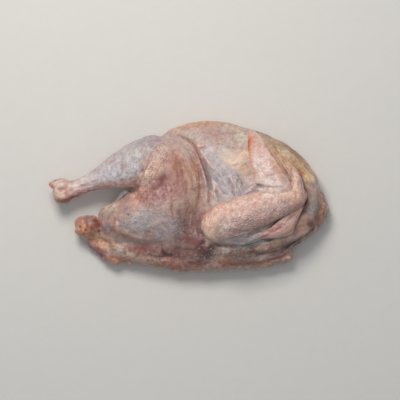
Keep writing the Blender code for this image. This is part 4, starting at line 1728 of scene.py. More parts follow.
FLANK_MARKS = [
    Patch(16, 46, 9, 32, "#b18375", 0.85, 14), Patch(20, 61, 5, 7, "#f5e4e0", 0.7, 20),
    Patch(16, 73, 5, 5, "#f6d1c6", 0.6), Patch(24, -49, 5, 8, "#bc9182", 0.6),
    Patch(10, 34, 5, 18, "#c48c69", 0.7, 10), Patch(22, 2, 9, 34, "#bc9584", 0.85, 4),
    Patch(26, -4, 4, 14, "#d8bab0", 0.6, 4), Patch(8, 8, 4, 34, "#b4937d", 0.7, 2),
    Patch(16, -42, 15, 22, "#98706e", 0.85), Patch(4, -22, 10, 16, "#9c7c69", 0.7),
    Patch(33, 5, 2.6, 3.4, "#d26a58", 0.6),
    # Folds fan out from the knee.
    *pleats(RIDGE, ((-8, 70), (-1, 54), (4, 36), (5, 14), (2, -8)),
        ((2, 80), (12, 66), (20, 46), (25, 22), (26, -4)), 4, 3.4, 1.1, "", 0, 16),
    *pleats(GROOVE, ((-12, 72), (-4, 56), (0, 38), (1, 16), (-4, -8)),
        ((0, 80), (10, 66), (17, 46), (21, 22), (22, -4)), 4, 2.2, 0.9, "#8e6654", 0.45, 17),
    Fold(GROOVE, ((16, 50), (18, 36), (18.5, 22), (17.5, 6), (14, -8), (11, -22)), 3.4, 2.8, "#7c5544", 0.7),
    Fold(RIDGE, ((24, 26), (27, 12), (27, -2), (25, -16)), 2.6, 2, "#c4afa8", 0.7),
    Fold(GROOVE, ((29, 22), (31.5, 8), (31, -6), (29, -18)), 1.8, 1.6, "#7e5c57", 0.6),
    Fold(RIDGE, ((35, 18), (38.5, 8), (41.5, -2), (43.5, -9)), 2, 2, "#cdb5a4", 0.85),
    Streak(((39, 12), (42, 5), (45, 0)), 1.3, "#b7805a", 0.8),
    Fold(GROOVE, ((40, 14), (43.5, 5), (47, -1), (51, -6)), 1.5, 2.2, "#503a36", 0.8),
    *pleats(GROOVE, ((2, -14), (6, -32), (14, -50), (18, -64)), ((22, -18), (18, -34), (19, -50), (22, -62)),
        5, 2, 1.7, "#7c5450", 0.5, 18),
    Wrinkles(0, 30, 22, 52, 8, 96, 4.2, 5, 0.4, 55, "#a5765f", 0.35),
    Wrinkles(16, -40, 20, 28, 0, 82, 4.2, 4, 0.55, 56, "#7a5450", 0.4),
    # Its front edge lies over the breast, with a crease before it painted dark as the edge's shade.
    Fold(LAP, ((38, 2), (32, 14), (27.5, 28), (23, 42), (17.5, 56), (12, 68), (4, 77), (-6, 84), (-16, 88.5),
        (-24, 91)), 5.5, 4.6),
    Fold(GROOVE, ((-34, 95), (-24, 94), (-13, 90), (-4, 86)), 1.4, 1.1, "#8d6a62", 0.6),
    Fold(GROOVE, ((-14, 90.5), (-4, 86), (5, 79.5), (12, 71.5), (17, 61), (21.5, 50), (26, 38.5), (30, 26),
        (33.5, 14), (38, 3)), 2.2, 5.4, "#3a1a26", 1, 0.2),
    *pleats(GROOVE, ((-30, 84), (-20, 72), (-12, 60)), ((-12, 86), (-2, 76), (6, 64)), 4, 1.3, 1.1,
        "#7c5a50", 0.55, 138),
    Streak(((4, 80), (11, 71), (15.5, 60), (19, 50)), 2.2, "#8f5f48", 0.55),
    Fold(GROOVE, ((-28, 89), (-22, 85), (-17, 80), (-14, 74)), 1.5, 1.3, "#856359", 0.7),
    Fold(GROOVE, ((-13, 73), (-8, 64), (-3, 57)), 1.4, 1.2, "#7f6258", 0.6),
]


@dataclass(frozen=True)
class Leg:
    """Drumstick, knee, thigh and the flank skin that is drawn from the knee to the shoulder.

    Attributes:
        hock: The height of the shank's centre.
        knee: The height of the knee's centre.
    """

    hock: float = 30.0
    knee: float = 52.0

    def shells(self) -> list[Shell]:
        """Gives the leg's masses: drumstick, thigh and flank."""
        h, k = self.hock, self.knee
        drumstick = (
            Station(-190.5, 7, h, 15, 14), Station(-180, 8.5, h, 18, 16), Station(-168, 11.5, h, 13.5, 13),
            Station(-150, 17.5, h + 3, 12.5, 12.5), Station(-125, 28, h + 9, 17, 17),
            Station(-98, 38.5, h + 16, 26, 25), Station(-72, 46.5, k - 2, 33.5, 32),
            Station(-50, 52.5, k, 37, 35),
        )
        thigh = (
            Station(-44, 53, k, 36.5, 34), Station(-33, 28, k - 1, 41, 37), Station(-26, 0, k - 5, 43, 37),
            Station(-28, -32, k - 14, 46, 34), Station(-36, -60, k - 26, 44, 30),
        )
        flank = (
            Station(-22, 70, k - 6, 15, 24), Station(-1, 52, k - 1, 14, 26), Station(15, 22, k + 3, 13, 25),
            Station(22, -12, k - 2, 14, 24), Station(16, -44, k - 14, 16, 24),
        )
        tip = (Station(-184, 13, h, 11, 11), Station(-193, 17, h, 7.5, 9), Station(-197.5, 18.5, h - 1, 4, 6))
        return [Shell(drumstick, (0.35, 1.0)), Shell(tip), Shell(thigh), Shell(flank)]

    def shank(self) -> list[Mark]:
        """Gives the drumstick's tones and folds, and the hock's knuckles at its end."""
        return SHANK_MARKS

    def thigh(self) -> list[Mark]:
        """Gives the thigh's tones and folds: the pebbled ridge, the dark hollow and loose skin."""
        return THIGH_MARKS

    def flank(self) -> list[Mark]:
        """Gives the flank's tones and its long folds, from the knee down to the shoulder."""
        return FLANK_MARKS

    def marks(self) -> list[Mark]:
        """Gives everything that is worked into the leg's skin, in order."""
        return self.shank() + self.thigh() + self.flank()


TAIL_MARKS = [
    Patch(-148, -45, 19, 20, "#a46747", 0.95), Patch(-154, -42, 10, 10, "#c89079", 0.8),
    Patch(-146, -31, 12, 4, "#9b6452", 0.7, 8), Patch(-150, -50, 7, 6, "#d58255", 0.8),
    Patch(-141, -37, 5, 6, "#b29e9e", 0.85), Patch(-140, -54, 8, 6, "#9c7860", 0.8),
    Patch(-140, -62, 12, 4, "#b67762", 0.7, -20), Patch(-155, -34, 8, 5, "#bf846c", 0.8, 30),
    Patch(-150, -44, 7, 5, "#d38c5c", 0.7, -50), Patch(-144, -35, 6, 4, "#986667", 0.7, 60),
    Patch(-160, -47, 4, 8, "#cea380", 0.7, 10),
    *speckle(-154, -46, 8, 11, 0, 16, 0.9, ("#8a5a42", "#dcb497", "#9c6a4c"), 0.7, 107),
    # The near-black dot at -156, -44 is painted shade in a pit.
    Patch(-156, -44, 1.7, 1.7, "#301919", 0.9), Patch(-147.5, -48.5, 2.4, 2, "#7a3a19", 0.8),
    Patch(-150, -53, 1.6, 1.6, "#96461a", 0.6), Patch(-134, -45, 5, 7, "#683c2c", 0.6),
    Streak(((-136, -29), (-132, -36), (-129, -45)), 3.6, "#a04a20", 0.95),
    Fold(GROOVE, ((-135.5, -30), (-132, -38), (-128.5, -47), (-127.5, -57)), 3.6, 5.5, "#6d2a10", 0.9, 0.15),
    Streak(((-129.5, -47), (-128, -53), (-127.5, -58)), 2, "#48180f", 0.8),
    Fold(RIDGE, ((-124, -30), (-121.5, -42), (-121, -54)), 4, 1.5),
    *pleats(GROOVE, ((-141, -44), (-135, -50), (-131, -58)), ((-143, -54), (-138, -58), (-132, -62)), 3, 1.8,
        1.4, "#6d4836", 0.6, 19),
    Fold(GROOVE, ((-149, -29), (-148, -36), (-145, -42), (-146, -50)), 1.8, 1.8, "#965f52", 0.7),
    Bulge(-156, -44, 2, 2, -1.8), Bulge(-147.5, -48.5, 2, 2, -1.4), Bulge(-153, -49, 8, 7, 1.6),
    Bulge(-141, -37, 5, 7, 1.4, 10), Bulge(-160, -58, 9, 5, -2.5, -40),
    Wrinkles(-146, -46, 18, 18, 0, 70, 4.4, 2.2, 0.3, 71, "#9a6c56", 0.3),
    Net(-150, -46, 16, 16, 0, 0, 3.6, 1.2, 0.2, 77, "#9a6a54", 0.3),
]


@dataclass(frozen=True)
class Tail:
    """The parson's nose: a short fatty knob behind the rump, with a groove before it.

    Attributes:
        level: The height of its centre line.
    """

    level: float = 20.0

    def shells(self) -> list[Shell]:
        """Gives the knob's one mass."""
        z = self.level
        knob = (
            Station(-116, -46, z + 1, 18, 15), Station(-131, -46, z, 16, 15),
            Station(-147, -44.5, z, 18.5, 17), Station(-156, -44.5, z - 1, 17, 15),
        )
        return [Shell(knob, (1.0, 0.5))]

    def marks(self) -> list[Mark]:
        """Gives the knob's tones, its two pits, its pucker and the groove before it."""
        return TAIL_MARKS


FOREARM_MARKS = [
    Patch(80, -16, 76, 24, "#eaccbf", 0.95, 16), Patch(169, 3, 4, 9, "#8d5c4b", 0.6),
    Patch(98, -20, 13, 6, "#cda79b", 0.5, 18), Patch(32, -41, 20, 26, "#f3c8b1", 0.9),
    # Painted highlights: the near-white ovals at 39, -10, 89, -53 and 108, -49.
    Patch(33, -55, 13, 12, "#f6d9bc", 0.75), Patch(39, -10, 8, 5, "#f6f6d2", 0.6, 30),
    Patch(43, -49, 8, 7, "#f6dcd2", 0.6), Patch(89, -53, 9, 4, "#f6f6f6", 0.6, 20),
    Patch(44, -24, 22, 8, "#f4d5c3", 0.7, 30), Patch(55, -46, 14, 10, "#f6ece2", 0.8, 14),
    Patch(102, -34, 58, 14, "#cfb0a7", 0.9, 22), Patch(118, -32, 32, 8, "#d8ad9e", 0.75, 26),
    Patch(60, -54, 18, 6, "#f2c5c3", 0.8, 8), Patch(84, -61.5, 34, 9, "#c5c2c1", 0.85, 10),
    Patch(108, -49, 14, 4, "#e8e8de", 0.8, 24), Patch(158, -2, 14, 20, "#d6ad98", 0.9),
    Patch(160, -14, 10, 7, "#cf8e8a", 0.8, 30), Patch(156, 26, 7, 18, "#e5c2ad", 0.9),
    Patch(142, 6, 14, 8, "#e8bda9", 0.7), Patch(122, 6, 24, 6, "#eedfd3", 0.7, 4),
    Patch(126, 7, 4, 1.6, "#a5707a", 0.8, -20),
    Streak(((46, -8), (54, -5), (66, -2), (78, 2)), 2.4, "#c98a62", 0.65),
    Streak(((20, -33), (28, -23), (41, -11)), 1.8, "#d58e6c", 0.7),
    Streak(((18, -40), (19, -50), (25, -60)), 2.4, "#cf8a76", 0.6),
    # The forearm's lower edge over the upper arm, and the crease at the elbow.
    Fold(LAP, ((150, -24), (134, -33), (120, -41), (104, -47), (86, -51), (68, -56), (54, -62.5)), 4.5, 2),
    Fold(GROOVE, ((52, -65), (67, -59), (88, -53.5), (106, -49), (122, -42), (136, -33), (152, -22),
        (166, -13)), 2.2, 2.8, "#4d3531", 0.62, 0.1),
    Fold(GROOVE, ((44, -66), (41, -56), (45, -46), (54, -38)), 2.4, 1.4, "#9c7a6c", 0.45),
    Fold(GROOVE, ((50, -60), (58, -54), (63, -46)), 2, 1, "#7f6866", 0.45),
    Patch(70, -46, 3.4, 3, "#db7947", 0.6), Fold(RIDGE, ((26, -36), (34, -28), (46, -20)), 5, 1.2),
    Fold(GROOVE, ((22, -44), (30, -46), (38, -52)), 1.8, 0.9, "#b98a70", 0.5),
    *pleats(GROOVE, ((46, -24), (52, -34), (56, -46)), ((62, -16), (68, -28), (72, -42)), 5, 2, 1, "#a07c74",
        0.4, 20),
    # The wrist and the thumb.
    Bulge(161, -2, 9, 12, 1.6),
    Fold(GROOVE, ((150, 34), (149, 26), (147, 18), (150, 8)), 2, 1.1, "#b48478", 0.45),
    Fold(GROOVE, ((166, 22), (166, 10), (163, 0)), 2, 0.8, "#b18c80", 0.35),
    Fold(GROOVE, ((108, 13.5), (120, 11), (134, 10), (146, 14)), 2, 1.6, "#8f5a62", 0.5),
    # Transverse lines above, crazed skin below.
    *pleats(GROOVE, ((58, -2), (60, -14), (60, -28)), ((148, 12), (150, 0), (150, -12)), 20, 1.7, 0.7,
        "#bd8b78", 0.35, 23),
    Wrinkles(84, -10, 60, 14, 14, 72, 3.8, 2.6, 0.3, 83, "#d3a68f", 0.3),
    *speckle(84, -14, 60, 12, 15, 22, 2.2, ("#e8a184", "#f0cfc0", "#c88f8a"), 0.5, 108),
    Wrinkles(36, -38, 22, 26, 0, 60, 4.2, 3, 0.5, 82, "#b98a74", 0.35),
    Net(104, -28, 62, 18, 20, 35, 3.3, 1.6, 0.8, 78, "#6b4a48", 0.55),
    Net(60, -40, 30, 18, 16, 40, 3.4, 1.4, 0.35, 79, "#92756c", 0.4),
    Wrinkles(88, -4, 60, 14, 14, 118, 3.4, 2.6, 0.5, 80, "#d08f6c", 0.4),
    Wrinkles(158, 8, 14, 36, 5, 85, 4, 3, 0.5, 85, "#b48c80", 0.4),
    Wrinkles(90, -60, 44, 10, 6, 12, 4.2, 5, 0.5, 86, "#77706f", 0.4),
    # The near-white specks on the upper arm are painted highlights.
    *speckle(80, -62, 30, 6, 8, 10, 1.8, ("#e0dede", "#a29c9e"), 0.5, 109),
    *beads(((21, -30), (26, -20), (34, -13), (44, -7), (56, -3)), 14, 2, 0.9, "#e0946e", 0.5, 110),
]


@dataclass(frozen=True)
class Forearm:
    """The folded wing without its hand: forearm, upper arm, wrist and thumb.

    Attributes:
        level: The height of the forearm's centre.
    """

    level: float = 77.0

    def shells(self) -> list[Shell]:
        """Gives the wing's masses."""
        z = self.level
        forearm = (
            Station(44.5, -38.5, z - 15, 26.5, 26), Station(62, -31.5, z - 6, 28, 26),
            Station(92, -21, z, 26.5, 25), Station(122, -13, z - 1, 23, 22),
            Station(150, -3, z - 6, 18, 19), Station(158, 1, z - 9, 14, 17),
        )
        upper_arm = (
            Station(41, -51.5, z - 25, 16.5, 21), Station(80, -57.5, z - 22, 13, 18),
            Station(104, -50, z - 18, 10, 15), Station(124, -39, z - 14, 7, 12),
        )
        thumb = (
            Station(158, 4, z - 4, 12, 13), Station(156, 23, z - 7, 9, 10), Station(152.8, 40, z - 13, 3.8, 6),
        )
        return [Shell(forearm), Shell(upper_arm), Shell(thumb)]

    def marks(self) -> list[Mark]:
        """Gives everything that is worked into the wing's skin, in order."""
        return FOREARM_MARKS


HAND_MARKS = [
    # Painted highlights: the near-white ovals at 94, 42 and 101, 8.
    Patch(114, 40, 24, 52, "#e5cfc3", 0.95, 18), Patch(94, 42, 5, 10, "#f6f6f5", 0.6, 20),
    Patch(101, 8, 8, 5, "#f6f6f6", 0.6), Patch(100, 76, 9, 18, "#d5ac9b", 0.85, 15),
    Patch(124, 22, 18, 8, "#f5e6df", 0.7, -6), Patch(128, 40, 5, 26, "#cc9978", 0.8, 28),
    Patch(112, 82, 5, 14, "#f6c295", 0.6, 28), Patch(107, 58, 4.5, 2, "#b88493", 0.7, 0),
    Patch(117, 31.5, 5, 1.8, "#e991b2", 0.7, 0), Patch(125, 24.5, 4.5, 1.6, "#ad7d96", 0.7, 2),
    Patch(110, 66, 6, 3, "#d9a898", 0.5, 20),
    Streak(((91.5, 90), (90.5, 80), (89.5, 70), (89, 62)), 4, "#cb7647", 0.85, True),
    Streak(((90.5, 86), (88.5, 77), (87.5, 70)), 1.7, "#c04f2a", 0.75, True),
    # The hollow between hand, forearm and breast, painted dark as its shade.
    Patch(104.5, 15.5, 6, 2.6, "#69515a", 0.85, -24), Patch(106.5, 13.8, 4, 1.6, "#a9a0a8", 0.75, -20),
    Bulge(104.5, 15.5, 5.5, 3, -3, -24),
    Streak(((88.5, 68), (90, 56), (94, 42), (99, 28)), 2.8, "#dba088", 0.8, True),
    Streak(((108, 84), (117, 68), (128, 52), (136, 40), (146, 26)), 2.6, "#b9775e", 0.85, True),
    Streak(((95, 94), (93, 88)), 2.6, "#dd9a8a", 0.7, True),
    # A rounded front edge, the dip behind it and a thin rear edge, with its loose ribbon of skin.
    Fold(RIDGE, ((93, 84), (92, 68), (95, 48), (101, 30)), 4, 1.4),
    Fold(GROOVE, ((97, 82), (98, 66), (102, 46), (108, 30)), 4, 1),
    Fold(RIDGE, ((108, 84), (117, 66), (126, 50), (138, 30)), 2.6, 1.4),
    Fold(GROOVE, ((104, 80), (112, 64), (121, 48), (130, 34)), 3, 0.9, "#cdaaa0", 0.4),
    Fold(GROOVE, ((104, 18), (112, 15), (128, 14), (142, 16)), 2.4, 0.9, "#86535f", 0.5),
    *pleats(GROOVE, ((98, 60), (106, 58), (116, 56)), ((106, 28), (118, 26), (134, 26)), 6, 2, 0.5,
        "#c7a19a", 0.35, 24),
    Wrinkles(112, 46, 20, 44, 18, 65, 3.8, 2.4, 0.4, 84, "#c09f98", 0.35),
    Net(114, 40, 24, 46, 18, 80, 3.6, 1.4, 0.3, 81, "#bf9c96", 0.15),
]


@dataclass(frozen=True)
class Hand:
    """The wing's hand: a flat pale leaf that comes out from under the wrist and points at the keel.

    Attributes:
        level: The height of the forearm's centre, from which the hand's is worked out.
    """

    level: float = 77.0

    def shells(self) -> list[Shell]:
        """Gives the hand's one mass."""
        z = self.level
        hand = (
            Station(130, 4, z + 2, 23, 10), Station(119.5, 28, z + 3, 23.5, 9),
            Station(110, 49, z - 2, 20.5, 9), Station(102, 69, z - 11, 15.5, 8),
            Station(97, 83, z - 22, 10, 7), Station(93.5, 91, z - 32, 6, 6),
        )
        return [Shell(hand, boxy=2.6)]

    def marks(self) -> list[Mark]:
        """Gives everything that is worked into the hand's skin, in order."""
        return HAND_MARKS


# ---------------------------------------------------------------- the finished pieces


@dataclass
class Hide:
    """One finished skin: a surface with marks worked into it, toned and made an object.

    Attributes:
        surface: The surface to work on.
        marks: What is worked into it, in order.
        ground: Its ground colour, as sRGB hex.
        seed: Picks its mottling.
        mottle: How strongly it is mottled.
    """

    surface: Surface
    marks: list[Mark]
    ground: str
    seed: int
    mottle: float = 0.24

    def carve(self) -> None:
        """Pushes the swellings, then the folds, then the fine patterns into the surface."""
        for kinds, passes in (((Bulge, Rucks), 1), ((Fold,), 1), ((Wrinkles, Net, Follicles), 0)):
            total = np.zeros(len(self.surface.points))
            for mark in self.marks:
                if isinstance(mark, kinds):
                    total += mark.heights(self.surface)
            self.surface.push(total)
            self.surface.relax(passes, 0.35)

    def tone(self) -> np.ndarray:
        """Lays the patches, then the finer marks, and paints shade in hollows and light on crests by depth.

        Returns:
            One linear colour for each point.
        """
        tones = Tones(self.surface, self.ground, self.seed)
        tones.lay([mark for mark in self.marks if isinstance(mark, Patch)])
        for size, over, under in ((14, "#c4806e", "#a8a3ac"), (6, "#c2946e", "#ece2dc")):
            blotch = layered_noise(self.surface.points, size, self.seed + size, 3)
            tones.mix(over, self.mottle * ease(0.15, 0.9, blotch))
            tones.mix(under, 0.8 * self.mottle * ease(0.15, 0.9, -blotch))
        tones.lay([mark for mark in self.marks if not isinstance(mark, Patch)])
        # Painted shade in the patches runs down the steep sides; there a paler skin tone is mixed back in.
        steep = 1 - ease(0.05, 0.35, np.abs(self.surface.normals()[:, 2]))
        tones.mix("#dcb8a6", 0.5 * steep * (1 - ease(35, 60, self.surface.points[:, 2])))
        # Painted shade: hollows are darkened and reddened by their depth. Painted highlight: crests are
        # lightened.
        fine = self.surface.hollows(8)
        broad = self.surface.hollows(60)
        tones.mix("#8d564a", 0.4 * ease(0.12, 0.8, fine))
        tones.mix("#45272a", 0.55 * ease(0.8, 2.2, fine))
        tones.mix("#7b5048", 0.25 * ease(0.8, 4.0, broad))
        tones.mix("#f0ddd0", 0.22 * ease(0.08, 0.5, -fine))
        return tones.colour

    def settled(self, middle: np.ndarray, masks: dict[str, np.ndarray]) -> bpy.types.Object:
        """Makes the skin an object in the frame, with its tone and masks as attributes.

        Args:
            middle: The plan's own middle in the frame, in millimetres.
            masks: Attribute names, with one number for each point.

        Returns:
            The object, at the origin, with its place in its mesh.
        """
        mesh, tone = self.surface.mesh, self.tone()
        colours = np.column_stack([tone, np.ones(len(tone))]).astype(np.float32)
        layer = mesh.attributes.new("tone", "FLOAT_COLOR", "POINT")
        layer.data.foreach_set("color", colours.ravel())
        for name, values in masks.items():
            layer = mesh.attributes.new(name, "FLOAT", "POINT")
            layer.data.foreach_set("value", values.astype(np.float32))
        return placed(mesh, self.surface.points + middle)


def placed(mesh: bpy.types.Mesh, points: np.ndarray) -> bpy.types.Object:
    """Makes a worked mesh an object, thinned where it is flat if it has too many triangles.

    Args:
        mesh: The mesh.
        points: Its points in the frame, in millimetres.

    Returns:
        The object, at the origin.
    """
    mesh.vertices.foreach_set("co", (points * MM).ravel())
    piece = bpy.data.objects.new(mesh.name, mesh)
    bpy.context.scene.collection.objects.link(piece)
    triangles = sum(polygon.loop_total - 2 for polygon in mesh.polygons)
    if triangles > MOST_TRIANGLES:
        thinning = piece.modifiers.new("thinning", "DECIMATE")
        thinning.ratio = MOST_TRIANGLES / triangles
        bpy.context.view_layer.update()
        view = bpy.context.evaluated_depsgraph_get()
        piece.data = bpy.data.meshes.new_from_object(piece.evaluated_get(view), depsgraph=view)
        piece.data.name = mesh.name
        piece.modifiers.clear()
    piece.data.polygons.foreach_set("use_smooth", np.ones(len(piece.data.polygons), bool))
    piece.data.update()
    LOG.info("%s: %d triangles", piece.name, min(triangles, MOST_TRIANGLES))
    return piece


@dataclass(frozen=True)
class Softening:
    """An oval area in plan above which the joins between masses are drawn over by skin.

    Attributes:
        x: Its middle.
        y: Its middle.
        long: Its radius along its axis.
        wide: Its radius across it.
        turn: Degrees from +X to its axis.
        low: The height below which nothing is softened.
    """

    x: float
    y: float
    long: float
    wide: float
    turn: float = 0.0
    low: float = 30.0

    def mask(self, surface: Surface) -> np.ndarray:
        """Gives how soft each of the surface's points is, 0 to 1, and nothing near the board."""
        high = ease(self.low, self.low * 1.5, surface.points[:, 2])
        return high * oval(surface, self.x, self.y, self.long, self.wide, self.turn)


def oval(surface: Surface, x: float, y: float, long: float, wide: float, turn: float = 0.0) -> np.ndarray:
    """Gives a soft oval mask, 1 inside and 0 outside.

    Args:
        surface: The surface it lies on.
        x: Its middle in plan.
        y: Its middle in plan.
        long: Its radius along its axis.
        wide: Its radius across it.
        turn: Degrees from +X to its axis.

    Returns:
        One value for each point.
    """
    u, v = turned(surface.points, x, y, turn)
    return 1 - ease(0.7, 1.2, np.sqrt((u / long) ** 2 + (v / wide) ** 2))


@dataclass
class HalfBird:
    """The whole half bird: its skins, its loose flaps and its sawn face.

    Attributes:
        trunk: The trunk.
        leg: The leg.
        tail: The parson's nose.
        forearm: The wing without its hand.
        hand: The wing's hand.
        voxel: The body skin's mesh size before it is thinned.
        wing_voxel: The wing skins' mesh size.
        rim: How far the skin's rim hangs above the board, over the sawn face.
        inset: How far the sawn face lies inside that rim.
    """

    trunk: Trunk = Trunk()
    leg: Leg = Leg()
    tail: Tail = Tail()
    forearm: Forearm = Forearm()
    hand: Hand = Hand()
    voxel: float = 0.95
    wing_voxel: float = 0.85
    rim: float = 1.2
    inset: float = 0.9

    def body_skin(self) -> Hide:
        """Builds the skin of trunk, leg and tail, with the joins between them drawn over."""
        parts = (self.trunk, self.leg, self.tail)
        shells = [shell for part in parts for shell in part.shells()]
        surface = Surface.grown("body_skin", shells, self.voxel, self.rim, True)
        surface.relax(12, 0.5)
        over = [
            Softening(-30, 0, 66, 92, 10), Softening(40, 60, 60, 60), Softening(-118, -67, 34, 22, -30, 4.0),
        ]
        soft = np.max([area.mask(surface) for area in over], axis=0)
        surface.relax(110, 0.5 * surface.spread(soft, 16))
        lumps = layered_noise(surface.points, 26, 5, 2) * 0.9 + lattice_noise(surface.points, 9, 6) * 0.35
        surface.push(lumps)
        hide = Hide(surface, [mark for part in parts for mark in part.marks()], "#b59a90", 11)
        hide.carve()
        edge = (1 - ease(4, 22, surface.points[:, 2])) * (1 - 0.8 * ease(-10, 50, surface.points[:, 1]))
        surface.push(edge * layered_noise(surface.points, 11, 9, 3) * 1.5)
        return hide

    def wing_skin(self, name: str, part: Forearm | Hand, saw: float, seed: int) -> Hide:
        """Builds one of the wing's skins, whose underside is sunk into what lies below.

        Args:
            name: The piece's name.
            part: The part it covers.
            saw: The height below which nothing of it is kept.
            seed: Picks its mottling.

        Returns:
            The skin.
        """
        surface = Surface.grown(name, part.shells(), self.wing_voxel, saw, False)
        surface.relax(12, 0.5)
        lumps = layered_noise(surface.points, 18, seed, 2) * 0.8 + lattice_noise(surface.points, 7, seed) * 0.3
        surface.push(lumps)
        hide = Hide(surface, part.marks(), "#cbaca0", seed, 0.13)
        hide.carve()
        return hide

    def web(self) -> Hide:
        """Builds the web of skin between the forearm and the shoulder."""
        sheet = Sheet(WEB_ROWS, 3.0, (12, 10))
        surface = sheet.surface("wing_web")
        hide = Hide(surface, web_marks(), "#e6bfb2", 41)
        hide.carve()
        return hide

    def membrane(self) -> Hide:
        """Builds the torn flap of membrane at the thigh."""
        sheet = Sheet(MEMBRANE_ROWS, 1.0, (16, 12))
        surface = sheet.surface("leg_membrane")
        hide = Hide(surface, membrane_marks(), "#b9a29b", 43)
        hide.carve()
        return hide

    def sawn_face(self, body: Surface) -> Surface:
        """Builds the sawn face: a thin slab of meat just inside the skin's rim.

        The slab's points lie on rings that are the rim's outline drawn in towards one place in the
        middle. The ring at the share s of the way keeps the share s of each radius.

        Args:
            body: The body's finished skin, whose rim it follows.

        Returns:
            The slab as a surface.
        """
        rim = max(body.mesh.polygons, key=lambda polygon: polygon.loop_total)
        loop = body.points[list(rim.vertices)][:, :2]
        sides = np.diff(np.vstack([loop, loop[:1]]), axis=0)
        run = np.concatenate([[0], np.cumsum(np.linalg.norm(sides, axis=1))])
        places = np.linspace(0, run[-1], 600, endpoint=False)
        loop = np.column_stack([np.interp(places, run, np.append(column, column[0])) for column in loop.T])
        along = np.roll(loop, -3, axis=0) - np.roll(loop, 3, axis=0)
        inward = np.column_stack([-along[:, 1], along[:, 0]]) / np.linalg.norm(along, axis=1)[:, None]
        area = (loop[:, 0] * np.roll(loop[:, 1], -1) - loop[:, 1] * np.roll(loop[:, 0], -1)).sum()
        loop = loop + inward * self.inset * np.sign(area)
        middle = np.array([20.0, -5.0])
        shares = np.concatenate([np.linspace(0.04, 1, 26), [1.0], np.linspace(1, 0.04, 6)])
        levels = np.concatenate([np.zeros(26), [3.0], np.full(6, 3.0)])
        rings = middle + (loop - middle)[None] * shares[:, None, None]
        points = np.dstack([rings, np.broadcast_to(levels[:, None], rings.shape[:2])])
        index = np.arange(points.shape[0] * points.shape[1]).reshape(points.shape[:2])
        after = np.roll(index, -1, axis=1)
        quads = np.stack([index[:-1], index[1:], after[1:], after[:-1]], axis=-1).reshape(-1, 4)
        mesh = bpy.data.meshes.new("sawn_face")
        ends = [index[0].tolist(), index[-1].tolist()]
        mesh.from_pydata(points.reshape(-1, 3).tolist(), [], quads.tolist() + ends)
        work = bmesh.new()
        work.from_mesh(mesh)
        bmesh.ops.recalc_face_normals(work, faces=work.faces)
        work.to_mesh(mesh)
        work.free()
        return Surface(mesh)


WEB_ROWS = (
    ((103, -54, 74), (119, -44, 76), (137, -30, 79), (164, -15, 71), (167, -14, 58)),
    ((102, -57, 73), (119, -52, 74.5), (138, -42, 75), (155, -34, 68.5), (158, -35, 55)),
    ((98, -60, 67), (119, -56.5, 69), (137, -52.5, 67.5), (149, -49.5, 63), (153, -50, 53)),
    ((97, -61, 62), (120, -60, 59), (138, -57.5, 55), (150, -54.5, 52.5), (153, -52, 50)),
)
MEMBRANE_ROWS = (
    ((-105, -3, 22), (-99, 4, 30), (-94, 9.5, 38), (-86, 11, 42)),
    ((-101, -5, 28), (-95, 0, 35), (-90, 4.5, 38.5), (-84, 6, 40)),
)


def web_marks() -> list[Mark]:
    """Gives the web's tones: pink skin painted lighter against the forearm's shadow, a red edge under
    the forearm and a lower edge painted dark as shade.
    """
    return [
        # Painted light: the web is made lighter than it is, against the forearm's shadow over it.
        Patch(140, -42, 26, 12, "#f9d2c2", 0.95, 30),
        Patch(118, -53, 14, 5, "#efc2ba", 0.8, 20),
        Patch(147, -46, 8, 8, "#f8c2a8", 0.7),
        Patch(158, -22, 8, 8, "#dca890", 0.6),
        Streak(((102, -56, 66), (120, -46.5, 67), (138, -34, 68), (156, -21, 68)), 2.2, "#a2485c", 0.7, True),
        Streak(((149, -52, 62), (155, -38, 66), (162, -24, 68)), 1.6, "#eab394", 0.8, True),
        Fold(GROOVE, ((118, -50), (130, -46), (142, -44)), 2.0, 1.0, "#b0616c", 0.6),
        Fold(GROOVE, ((128, -54), (140, -50), (149, -46)), 1.8, 0.8, "#c07a70", 0.5),
        # Painted shade along the lower edge, where the web hangs over the shoulder.
        Streak(((97, -61, 62), (120, -60, 60), (138, -57, 56), (151, -54, 53), (158, -36, 56)), 4,
               "#8a5a4c", 0.7),
        Bulge(132, -52, 14, 5, 1.4, 20),
        Net(136, -44, 34, 18, 30, 30, 3.8, 1.3, 0.25, 91, "#9a6f68", 0.35),
        Wrinkles(136, -44, 34, 18, 30, 30, 4.5, 4, 0.3, 92, "#96675f", 0.3),
    ]


def membrane_marks() -> list[Mark]:
    """Gives the torn flap's tones: pale, thin and bluish, with a pink edge."""
    return [
        Patch(-95, 3, 12, 6, "#bcc1bf", 0.9, 45),
        Patch(-90, 7, 4, 3, "#dcd8d2", 0.6),
    ]


# ---------------------------------------------------------------- studio


